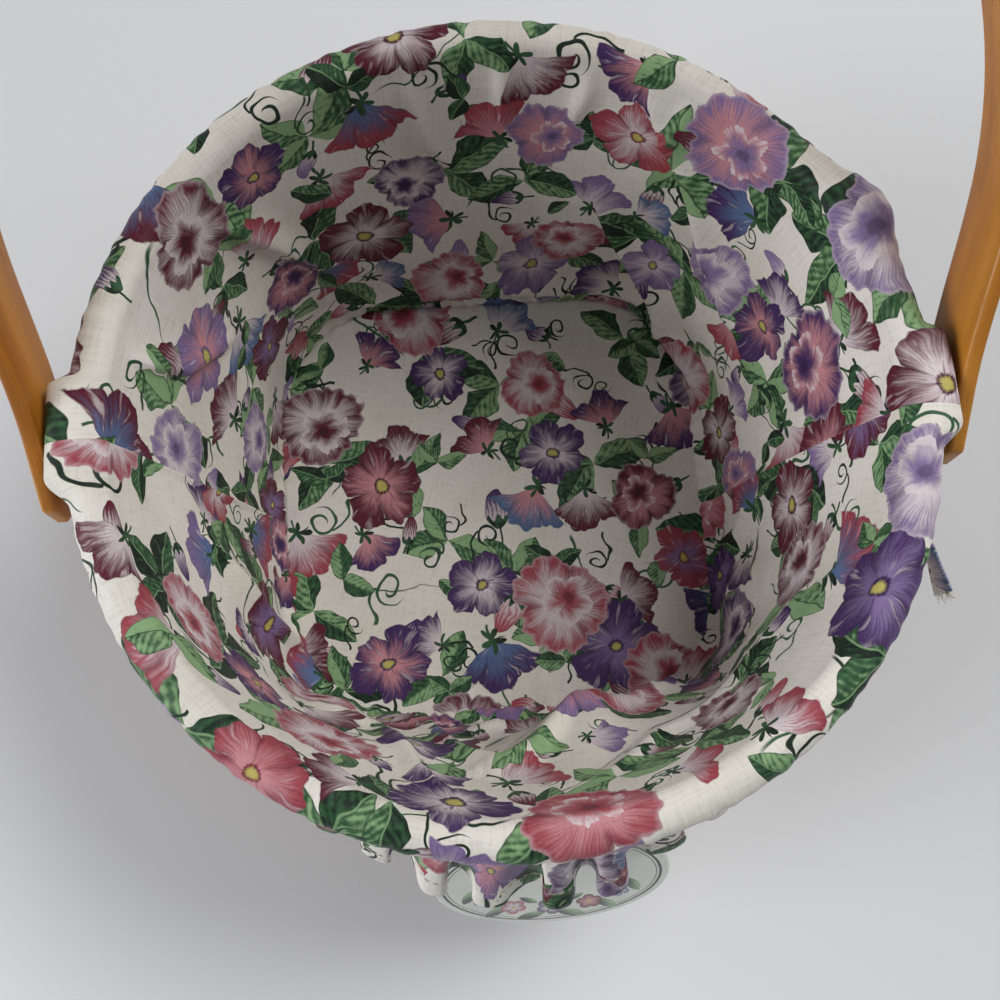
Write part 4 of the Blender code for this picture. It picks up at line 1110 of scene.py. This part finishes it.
def weaver(tree, row):
    """One ring: its guide starts and ends behind the same upright."""
    height = WEAVE_FOOT + row * ROW_PITCH + ROW_HEIGHT / 2
    join = (5 * row + 2) % UPRIGHTS
    join += 1 if (join + row) % 2 == 0 else 0
    centres, ups, beats = [], [], []
    for place in join + np.arange(UPRIGHTS * 14 + 1) / 14:
        spot = place % UPRIGHTS
        side = int((spot + 0.5) // SPLINTS_EACH_WAY) % 4
        index = spot - SPLINTS_EACH_WAY * side - 3
        if index < -4:
            index += UPRIGHTS
        elif index > 4:
            index -= UPRIGHTS
        low, high = (wall_frame(side, index, height + lift)[0] for lift in (-0.003, 0.003))
        centres.append((low + high) / 2)
        ups.append((high - low).normalized())
        beat = math.cos(math.pi * (spot + row))
        beats.append(math.sin(math.pi / 2 * min(max(1.9 * beat, -1), 1)))
    centres, ups = np.array(centres), np.array(ups)
    forward = np.gradient(np.concatenate([centres[-3:-1], centres, centres[1:3]]), axis=0)[2:-2]
    guide = guide_line("ring", centres, outward=units(np.cross(forward, ups)), beat=beats)
    mesh = tree.grow(f"weaver_strip_{row + 1}", guide, Step=LACING_STEP, Width=ROW_HEIGHT + 0.0001,
                     Thickness=SPLINT_THICKNESS, Edge=WOOD_EDGE)
    write_uv(mesh, "edge", np.full((len(mesh.loops), 2), 0.004))
    make_object(mesh.name, mesh, "splint_wood", f"weaver_{row + 1}")


def hoop(name, node, slot, inner, thickness, foot, top, edge=0.0006, start_angle=0.0, sweep=TURN, layer=0.0):
    """A flat band round the basket, or half round it."""
    closed = sweep >= TURN
    count = 224
    angle = start_angle + sweep * np.arange(count + (0 if closed else 1)) / count
    spoke = np.stack([np.cos(angle), np.sin(angle), 0 * angle], axis=-1)
    centres = spoke * (inner + thickness / 2) + np.array([0, 0, (foot + top) / 2])
    across = np.broadcast_to([0.0, 0.0, 1.0], centres.shape)
    mesh = strip_mesh(name, centres, across, spoke, top - foot, thickness, edge, closed=closed, start=layer)
    make_object(name, mesh, slot, node)


# Handle and what carries it

def turned_mesh(name, profile, sign, closed=False):
    """A turned piece on the handle's axis, from a profile of radii and places along X."""
    mesh = bpy.data.meshes.new(name)
    with working(mesh) as work:
        corners_made = [work.verts.new((place * sign, 0, radius)) for radius, place in profile]
        edges = [work.edges.new(pair) for pair in zip(corners_made, corners_made[1:])]
        if closed:
            edges.append(work.edges.new((corners_made[-1], corners_made[0])))
        bmesh.ops.spin(work, geom=corners_made + edges, axis=(1, 0, 0), cent=(0, 0, 0), angle=TURN, steps=48,
                       use_merge=True, use_duplicate=False)
        bmesh.ops.remove_doubles(work, verts=work.verts, dist=0.000002)
        face_out(work)
        bmesh.ops.translate(work, vec=PIVOT, verts=work.verts)
    return mesh


def eased(profile, size):
    """A profile with its corners rounded, except where it meets the axis."""
    points = [np.array(p, float) for p in profile]
    made = []
    for k, point in enumerate(points):
        if k in (0, len(points) - 1) or point[0] < 1e-6:
            made.append(tuple(point))
            continue
        before, after = points[k - 1] - point, points[k + 1] - point
        cut = min(size, np.linalg.norm(before) * 0.45, np.linalg.norm(after) * 0.45)
        start, end = point + units(before) * cut, point + units(after) * cut
        made += [tuple((1 - t)**2 * start + 2 * t * (1 - t) * point + t**2 * end) for t in (0.0, 0.5, 1.0)]
    return made


def washer(name, node, inner_face, outer_face, sign):
    square = [(WASHER_RADIUS, outer_face), (WASHER_RADIUS, inner_face), (BORE_RADIUS, inner_face),
              (BORE_RADIUS, outer_face)]
    ring = eased(square[-1:] + square + square[:1], 0.00025)[1:-1]
    make_object(name, turned_mesh(name, ring, sign, closed=True), "brass", node, sharp=50)


def rivet(name, node, sign):
    dome = [(RIVET_DOME_RADIUS * math.sin(t), RIVET_SEAT + 0.00025 + 0.00085 * math.cos(t))
            for t in np.linspace(0, math.pi / 2, 9)]
    dome[0] = (0.0, dome[0][1])
    shank = [(RIVET_DOME_RADIUS, RIVET_SEAT + 0.0002), (RIVET_DOME_RADIUS, RIVET_SEAT), (RIVET_RADIUS, RIVET_SEAT),
             (RIVET_RADIUS, RIVET_HEAD_OUT), (RIVET_HEAD_RADIUS, RIVET_HEAD_OUT), (RIVET_HEAD_RADIUS, RIVET_HEAD_IN),
             (0.0, RIVET_HEAD_IN)]
    make_object(name, turned_mesh(name, dome + eased(shank, 0.0002)[1:], sign), "brass", node, sharp=50)


def handle():
    """A bent band with clipped ends: straight at the rivets, bowed arms and a half-round top."""
    middle = HANDLE_IN + HANDLE_THICKNESS / 2
    arch = middle + HANDLE_BOW
    spring = HANDLE_RISE + HANDLE_THICKNESS / 2 - arch
    clip = HANDLE_WIDTH / 4
    arm = [(middle, -HANDLE_TAIL + clip * s, HANDLE_WIDTH - 2 * clip * (1 - s)) for s in (0.0, 0.25, 0.5, 0.75, 0.96)]
    arm += [(middle, -HANDLE_TAIL + clip + past, HANDLE_WIDTH) for past in (0.0006, 0.003)]
    arm += [(middle, rise, HANDLE_WIDTH) for rise in np.linspace(-0.01, WASHER_RADIUS, 6)]
    arm += [(middle + HANDLE_BOW * float(smooth_share(share)), WASHER_RADIUS + (spring - WASHER_RADIUS) * share,
             HANDLE_WIDTH) for share in np.linspace(0, 1, 30)[1:]]
    top = [(arch * math.cos(t), spring + arch * math.sin(t), HANDLE_WIDTH) for t in np.linspace(0, math.pi, 72)[1:-1]]
    line = np.array(arm + top + [(-out, rise, width) for out, rise, width in arm[::-1]], float)
    centres = np.stack([line[:, 0], 0 * line[:, 0], line[:, 1]], axis=-1)
    across = np.broadcast_to([0.0, 1.0, 0.0], centres.shape)
    out = units(np.cross(units(np.gradient(centres, axis=0)), across))
    mesh = strip_mesh("bent_handle", centres, across, out, line[:, 2], HANDLE_THICKNESS, 0.0012, corner=5)
    mesh.transform(Matrix.Translation(PIVOT) @ Matrix.Rotation(-HANDLE_LEAN, 4, "X"))
    blank = put("handle_blank", mesh)
    bar = [(0.0, -0.15), (BORE_RADIUS, -0.15), (BORE_RADIUS, 0.15), (0.0, 0.15)]
    cutter = put("rivet_hole", turned_mesh("rivet_hole", bar, 1))
    cut = blank.modifiers.new("bore", "BOOLEAN")
    cut.operation = "DIFFERENCE"
    cut.object = cutter
    bored = frozen(blank, "bent_handle")
    bpy.data.objects.remove(cutter, do_unlink=True)
    make_object("bent_handle", bored, "handle_wood", "handle", "swing_handle", sharp=50)


# Skirt

def skirt_points(start, rows_fall, rows_in):
    """One half of the gathered skirt: fine puckers at the elastic, deep flutes at the hem."""
    edge = math.asin(HALF_GAP / SKIRT_RADIUS)
    sweep = math.pi - 2 * edge
    pleats = round(sweep * SKIRT_RADIUS / PLEAT_PITCH)
    share = np.linspace(0, 1, pleats * 26 + 1)[None, :]
    fall = rows_fall[:, None]
    angle = start + edge + sweep * share
    wander = 0.35 * np.sin(share * 41 + start) + 0.25 * np.sin(share * 67 + 2)
    phase = TURN * pleats * share + wander * fall
    phase = phase + 0.6 * np.sin(share * 33 + start + 0.6) * fall * np.sin(phase)
    front = np.exp(-(((angle + math.pi / 2) / math.radians(22)) ** 2))
    spread = fall**2
    stand = spread * (0.0021 + 0.0110 * front)
    uneven = 1 + 0.25 * np.sin(share * 53 + 1.0 + start) * fall
    depth = (0.0004 + (0.0016 + 0.0024 * front) * spread) * uneven
    lean = -0.1 * spread * (PLEAT_PITCH / SKIRT_RADIUS) * np.sin(2 * phase) * np.sin(math.pi * share) ** 0.3
    gathered = np.clip(1 - fall, 0, 1) ** 1.3 * np.sin(math.pi * np.clip(fall * 3 + 0.25, 0, 1) / 2)
    pucker = 0.00045 * gathered * np.sin(phase * 3 + 2 * np.sin(phase))
    flute = np.arcsin(0.96 * np.sin(phase)) / math.asin(0.96)
    flute = np.sin(phase) * (1 - 0.8 * fall) + flute * 0.8 * fall
    flute = flute * (1 - fall) + (1 - 2 * np.clip((1 - flute) / 2, 0, 1) ** 1.4) * fall
    radius = SKIRT_RADIUS + stand + depth * flute + pucker - rows_in[:, None]
    height = SKIRT_TOP - fall * SKIRT_DROP + 0 * radius
    return np.stack([np.cos(angle + lean) * radius, np.sin(angle + lean) * radius, height], axis=-1)


def skirt(name, start, shift):
    down = np.linspace(0, 1, 34)
    under = np.array([1.0, 0.993, 0.96, 0.92, 0.87, 0.82])
    rows_fall = np.concatenate([down, [1.012, 1.012], under])
    rows_in = np.concatenate([0 * down, [0.0001, 0.0006], np.full(len(under), 0.0007)])
    points = skirt_points(start, rows_fall, rows_in)
    run = run_along(points[30])[None, :]
    rise = rise_down(points)
    mesh = grid_mesh(name + "_cloth", points, np.stack([run + 0 * rise + shift, -rise + 0 * run], axis=-1))
    mesh.flip_normals()
    item = make_object(name + "_cloth", mesh, "print_cloth", name)
    declare(item, points)


def stitch_tree():
    """Small thread stitches at even steps along a guide."""
    tree = Growth("stitch_row", "Spacing", "Length", "Thread")
    spots = tree.add("GeometryNodeCurveToPoints", {"mode": "LENGTH"},
                     {"Curve": tree.guide(), "Length": tree.input("Spacing")})
    turn = Field(tree, spots.socket.node.outputs["Rotation"])
    bead = tree.add("GeometryNodeMeshUVSphere", {}, {"Segments": 6, "Rings": 4, "Radius": 1.0})
    size = tree.join(tree.input("Thread"), tree.input("Thread"), tree.input("Length"))
    laid = tree.add("GeometryNodeInstanceOnPoints", {},
                    {"Points": spots, "Instance": bead, "Rotation": turn, "Scale": size})
    real = tree.add("GeometryNodeRealizeInstances", {}, {0: laid})
    return tree.end(tree.add("GeometryNodeSetShadeSmooth", {}, {0: real}), FINISHES["cord"])


def hem_stitches(tree, name, start):
    seam = skirt_points(start, np.array([0.86]), np.array([-0.00008]))[0]
    mesh = tree.grow(name, guide_line("seam", seam), Spacing=0.0026, Length=0.00085, Thread=0.00017)
    make_object(name, mesh, "print_cloth", finish=FINISHES["cord"])


# Ties

def smooth_path(points, count, closed=False):
    """Points at even steps along a smooth curve through a route."""
    knots = [np.array(p, float) for p in points]
    if closed:
        knots = [knots[-1]] + knots + knots[:2]
    else:
        knots = [2 * knots[0] - knots[1]] + knots + [2 * knots[-1] - knots[-2]]
    line = []
    for a, b, c, d in zip(knots, knots[1:], knots[2:], knots[3:]):
        for t in np.linspace(0, 1, 24, endpoint=False):
            bend = (2 * a - 5 * b + 4 * c - d) * t**2 + (3 * b - a - 3 * c + d) * t**3
            line.append(0.5 * (2 * b + (c - a) * t + bend))
    line = np.array(line + [knots[-2]])
    run = run_along(line)
    steps = np.linspace(0, run[-1], count)
    return np.stack([np.interp(steps, run, line[:, k]) for k in range(3)], axis=-1)


def ribbon(name, node, route, width, shift, frayed=False):
    """A folded tie of printed cloth that stands on edge along its route, softly bent across."""
    line = smooth_path(route, 40)
    forward = units(np.gradient(line, axis=0))
    up = np.broadcast_to([0.0, 0.0, 1.0], line.shape)
    share = np.linspace(0, 1, 40)[:, None]
    across = units(up + units(np.cross(forward, up)) * 0.25 * np.sin(share * 5 + shift))
    out = units(np.cross(forward, across))
    rows = np.linspace(-0.5, 0.5, 9)
    bend = 0.0005 * np.cos(rows * math.pi)[None, :, None] * np.sin(share * 4 + shift)[..., None]
    points = line[:, None] + across[:, None] * (rows * width)[None, :, None] + out[:, None] * bend
    run = run_along(line)[:, None]
    mesh = grid_mesh(name, points, np.stack([run + 0 * rows + shift * 0.41, rows * width + 0 * run], axis=-1))
    thicken(make_object(name, mesh, "print_cloth", node), 0.0008, 0.0)
    if frayed:
        fray(name + "_threads", points[-1], forward[-1], out[-1])


def fray(name, edge_points, forward, out):
    """Loose threads at a cut end."""
    random = np.random.default_rng(8)
    verts, faces = [], []
    for first in range(0, 22 * 15, 15):
        place = np.array([np.interp(random.uniform(0, 8), np.arange(9), edge_points[:, j]) for j in range(3)])
        heading = units(forward + random.normal(0, 0.28, 3))
        side = units(np.cross(heading, out + random.normal(0, 0.1, 3)))
        other = np.cross(heading, side)
        length = random.uniform(0.0012, 0.0034)
        curl = random.normal(0, 0.35)
        for t in np.linspace(0, 1, 5):
            centre = place - heading * 0.0004 + heading * length * t + side * curl * length * t * t
            for angle in (0, TURN / 3, TURN * 2 / 3):
                verts.append(centre + (side * math.cos(angle) + other * math.sin(angle)) * 0.00013 * (1 - 0.5 * t))
        for step in range(4):
            for turn in range(3):
                a, b = first + step * 3 + turn, first + step * 3 + (turn + 1) % 3
                faces.append((a, b, b + 3, a + 3))
        faces += [(first, first + 1, first + 2), (first + 12, first + 13, first + 14)]
    mesh = bpy.data.meshes.new(name)
    mesh.from_pydata([tuple(map(float, v)) for v in verts], [], faces)
    make_object(name, close_up(mesh), "print_cloth", finish=FINISHES["cord"])


def knot(name, node, centre, shift):
    """A small tight knot: three turns of cloth drawn round each other."""
    columns = 40
    u = np.linspace(0, TURN, columns, endpoint=False)[None, :]
    v = np.linspace(0.03, math.pi - 0.03, 24)[:, None]
    wraps = np.abs(np.sin(1.5 * (v * 1.4 + np.sin(u + shift) * 0.9))) ** 0.6
    radius = KNOT_RADIUS * (0.82 + 0.16 * wraps + 0.05 * np.sin(9 * u + 4 * v) * np.sin(v))
    points = np.stack([radius * np.sin(v) * np.cos(u), radius * np.sin(v) * np.sin(u), radius * np.cos(v)], axis=-1)
    points = points @ np.array(Matrix.Rotation(0.5 * math.pi, 3, "X")).T + np.array(centre)
    around = np.linspace(0, 0.021, columns + 1)[None, :] + shift
    mesh = grid_mesh(name, points, np.stack([around + 0 * v, v * KNOT_RADIUS + 0 * around], axis=-1), closed=True)
    with working(mesh) as work:
        bmesh.ops.holes_fill(work, edges=[e for e in work.edges if e.is_boundary], sides=0)
        face_out(work)
    make_object(name, mesh, "print_cloth", node)


# Routes of the ties' loose ends, in shares of their length: outwards, away from the knot and down
FREE_END = ((0, 0, 0), (0.03, 0.22, 0), (0.07, 0.44, 0), (0.13, 0.66, 0.03), (0.23, 0.97, 0.14))
HANGING_END = ((0, 0, 0), (0, 0.15, 0.08), (-0.02, 0.25, 0.3), (-0.04, 0.3, 0.55))


def ties(side_name, sign):
    height, out = EAR_FOOT - KNOT_RADIUS - TIE_WIDTH / 2, HANDLE_IN - KNOT_RADIUS - 0.0018
    drop = height - KNOT_RADIUS - TIE_WIDTH / 2 - 0.0003
    shift = 0.6 if sign > 0 else 2.3
    lean = math.radians(11)
    knot("knot_" + side_name, "tie_knot_" + side_name, (sign * out, 0, height), shift)
    for end_name, toward in (("front", -1), ("back", 1)):
        tag_name = end_name + "_" + side_name
        route = [
            (sign * out, toward * 0.0036, height),
            (sign * (out + SEWN_OUT) / 2, toward * HALF_GAP, height),
            (sign * SEWN_OUT * math.cos(lean), toward * SEWN_OUT * math.sin(lean), height),
        ]
        ribbon("sewn_tie_" + tag_name, "tie_" + tag_name, route, 0.0057, shift + toward)
        route = [(sign * (out + a * TIE_LENGTH), toward * (0.0003 + b * TIE_LENGTH), drop - c * TIE_LENGTH)
                 for a, b, c in (FREE_END if tag_name == "front_right" else HANGING_END)]
        ribbon("loose_tie_" + tag_name, "tie_end_" + tag_name, route, TIE_WIDTH, shift + 2 * toward, frayed=True)


# Tag

def tag():
    """A glazed oval plate with rounded edges and two holes, hung by its cord."""
    outline = bpy.data.curves.new("tag_outline", "CURVE")
    outline.dimensions = "2D"
    outline.fill_mode = "BOTH"
    outline.extrude = TAG_HALF_THICKNESS - TAG_EDGE
    outline.bevel_depth = TAG_EDGE
    outline.bevel_resolution = 4
    rings = [(0.0, -TAG_DROP, TAG_HALF_WIDTH - TAG_EDGE, TAG_HALF_HEIGHT - TAG_EDGE, 160)]
    rings += [(sign * TAG_HOLE_OUT, 0.0, TAG_HOLE, TAG_HOLE, 40) for sign in (-1, 1)]
    for cx, cy, half_wide, half_tall, count in rings:
        ring = outline.splines.new("POLY")
        ring.points.add(count - 1)
        for k, point in enumerate(ring.points):
            angle = TURN * k / count
            point.co = (cx + half_wide * math.cos(angle), cy + half_tall * math.sin(angle), 0, 1)
        ring.use_cyclic_u = True
    mesh = frozen(put("tag_blank", outline), "glazed_tag")
    with working(mesh) as work:
        bmesh.ops.remove_doubles(work, verts=work.verts, dist=0.000002)
        face_out(work)
        layer = work.loops.layers.uv.get("face") or work.loops.layers.uv.new("face")
        for face in work.faces:
            for loop in face.loops:
                x, y, _ = loop.vert.co
                loop[layer].uv = (x, y) if face.normal.z > -0.3 else (x * 0.2, y * 0.1 - 0.018)
    mesh.transform(Matrix.Translation(TAG_PLACE) @ Matrix.Rotation(math.radians(52), 4, "X"))
    make_object("glazed_tag", mesh, "glazed_tag", "tag", "hanging_tag", sharp=40)


CORD_ROUTE = (
    (0.0, -0.1036, 0.0884), (0.0062, -0.1036, 0.0884), (0.0082, -0.1048, 0.0884), (0.0087, -0.1066, 0.0884),
    (0.0092, -0.1090, 0.0882), (0.0104, -0.1110, 0.0866), (0.0130, -0.1117, 0.0824), (0.0158, -0.1101, 0.0770),
    (0.0171, -0.1089, 0.0724), (0.0174, -0.1102, 0.0689), (0.0175, -0.1131, 0.0684), (0.0175, -0.1162, 0.0708),
    (0.0173, -0.1188, 0.0728), (0.0155, -0.1199, 0.0737), (0.0110, -0.1200, 0.0736), (0.0055, -0.1200, 0.0734),
    (0.0, -0.1200, 0.0736), (-0.0045, -0.1199, 0.0737), (-0.0063, -0.1188, 0.0728), (-0.0065, -0.1162, 0.0708),
    (-0.0065, -0.1131, 0.0684), (-0.0066, -0.1102, 0.0689), (-0.0069, -0.1089, 0.0724), (-0.0076, -0.1101, 0.0770),
    (-0.0085, -0.1117, 0.0824), (-0.0091, -0.1110, 0.0866), (-0.0090, -0.1090, 0.0882), (-0.0087, -0.1066, 0.0884),
    (-0.0082, -0.1048, 0.0884), (-0.0062, -0.1036, 0.0884),
)


def tag_cord():
    """Two strands twisted round each other along the cord's route."""
    tree = Growth("twisted_cord", "Radius", "Lay")
    line = tree.add("GeometryNodeSetCurveTilt", {},
                    {"Curve": tree.guide(), "Tilt": tree.run() / tree.input("Lay") * TURN})
    section = tree.add("GeometryNodeCurvePrimitiveCircle", {"mode": "RADIUS"}, {"Resolution": 12, "Radius": 1.0})
    x, y, _ = tree.add("GeometryNodeInputPosition", {}, {}).axes()
    pinched = y * (abs(x) * 0.5 + 0.5) * tree.input("Radius") * 0.86
    section = tree.add("GeometryNodeSetPosition", {},
                       {"Geometry": section, "Position": tree.join(x * tree.input("Radius"), pinched)})
    tree.end(tree.sweep(line, section), FINISHES["cord"])
    guide = guide_line("cord_line", smooth_path(CORD_ROUTE, 620, closed=True))
    make_object("tag_loop", tree.grow("tag_loop", guide, Radius=0.00052, Lay=0.0026), "cord", "tag_cord")


liner_wall()
liner_floor()
for start_side, family in ((0, "lengthwise"), (3, "crosswise")):
    for index in range(-3, 4):
        splint(family, start_side, index)
laced = weaver_tree()
for row in range(WEAVER_ROWS):
    weaver(laced, row)
hoop("inner_band", "inner_rim_band", "splint_wood", 0.1063, 0.0018, BAND_FOOT, BAND_TOP, layer=11.0)
hoop("outer_band", "outer_rim_band", "splint_wood", 0.1101, 0.0020, BAND_FOOT, BAND_TOP, layer=17.0)
for name, start_angle in (("elastic_front", -math.pi), ("elastic_back", 0.0)):
    edge = math.asin(HALF_GAP / 0.1121)
    hoop(name + "_braid", name, "elastic", ELASTIC_INNER, ELASTIC_THICKNESS, 0.10425, 0.10925, edge=0.0002,
         start_angle=start_angle + edge, sweep=math.pi - 2 * edge)
handle()
for side_name, sign in ENDS:
    washer("spacer_ring_" + side_name, "spacer_washer_" + side_name, 0.1191, 0.1213, sign)
    washer("burr_ring_" + side_name, "burr_washer_" + side_name, 0.1264, 0.1274, sign)
    rivet("turned_rivet_" + side_name, "rivet_" + side_name, sign)
    for slot_place in frame["nodes"]["handle_ear_" + side_name].material_slots:
        slot_place.material = EAR_WOOD
skirt("skirt_front", -math.pi, 1.37)
skirt("skirt_back", 0.0, 2.11)
sewn = stitch_tree()
hem_stitches(sewn, "front_hem_stitches", -math.pi)
hem_stitches(sewn, "back_hem_stitches", 0.0)
for side_name, sign in ENDS:
    ties(side_name, sign)
tag()
tag_cord()


# Floor, light and camera

LAMP_SIZE = 1.1
LAMP_AIM = Vector((0, 0, 0.05))


def table_top():
    finish = Finish("table_top", Roughness=0.6, Specular_IOR_Level=0.25)
    place = finish.here()
    x, y, _ = place.axes()
    # Painted light: the table is paler towards the front left, where the basket's shadow falls, and darker towards the
    # back right, nearer the window lamp
    colour = finish.mix((x * 0.7 + y).rise(-0.42, 0.05), paint("#f4f6fa"), paint("#d4d5d7"))
    far = finish.vector("LENGTH", place, output=1)
    colour = finish.mix(far.rise(0.55, 1.6) * 0.8, colour, paint("#8c8d92"))
    speck = finish.noise(place, 900.0, 2.0)
    colour = finish.mix(speck.rise(0.74, 0.8) * 0.5, colour, paint("#9a9ba6"))
    mesh = bpy.data.meshes.new("table_top")
    with working(mesh) as work:
        bmesh.ops.create_grid(work, x_segments=8, y_segments=8, size=2.5)
    floor = put("table_top", mesh)
    mesh.materials.append(finish.wear(colour, None, speck, 0.0001, 0.2))
    floor.location.z = -0.0004


def lamp(name, place, energy, colour):
    light = bpy.data.lights.new(name, "AREA")
    light.shape = "DISK"
    light.size = LAMP_SIZE
    light.energy = energy
    light.color = colour
    item = put(name, light)
    item.location = place
    item.rotation_euler = (LAMP_AIM - Vector(place)).to_track_quat("-Z", "Y").to_euler()


def set_camera(place, ahead, up, lens):
    data = bpy.data.cameras.new("camera")
    data.lens = lens
    data.sensor_width = 36.0
    data.clip_start = 0.01
    camera = put("camera", data)
    ahead = Vector(ahead).normalized()
    side = ahead.cross(Vector(up)).normalized()
    turn = Matrix((side, side.cross(ahead), -ahead)).transposed().to_4x4()
    camera.matrix_world = Matrix.Translation(place) @ turn
    bpy.context.scene.camera = camera


def set_world(colour, strength):
    world = bpy.data.worlds.new("soft_room")
    world.use_nodes = True
    world.node_tree.nodes["Background"].inputs["Color"].default_value = colour
    world.node_tree.nodes["Background"].inputs["Strength"].default_value = strength
    bpy.context.scene.world = world


table_top()
lamp("window", (0.98, 0.62, 1.42), 23.0, (1.0, 0.99, 0.975))
lamp("room", (-1.75, -0.35, 0.8), 24.5, (0.98, 0.985, 1.0))
set_camera((-0.0158, -0.0818, 0.3748), (0.0444, 0.2165, -0.9753), (0.0657, 0.9735, 0.219), 36.11)
set_world((0.93, 0.96, 1.0, 1.0), 0.2)
bpy.context.scene.view_settings.view_transform = "Standard"
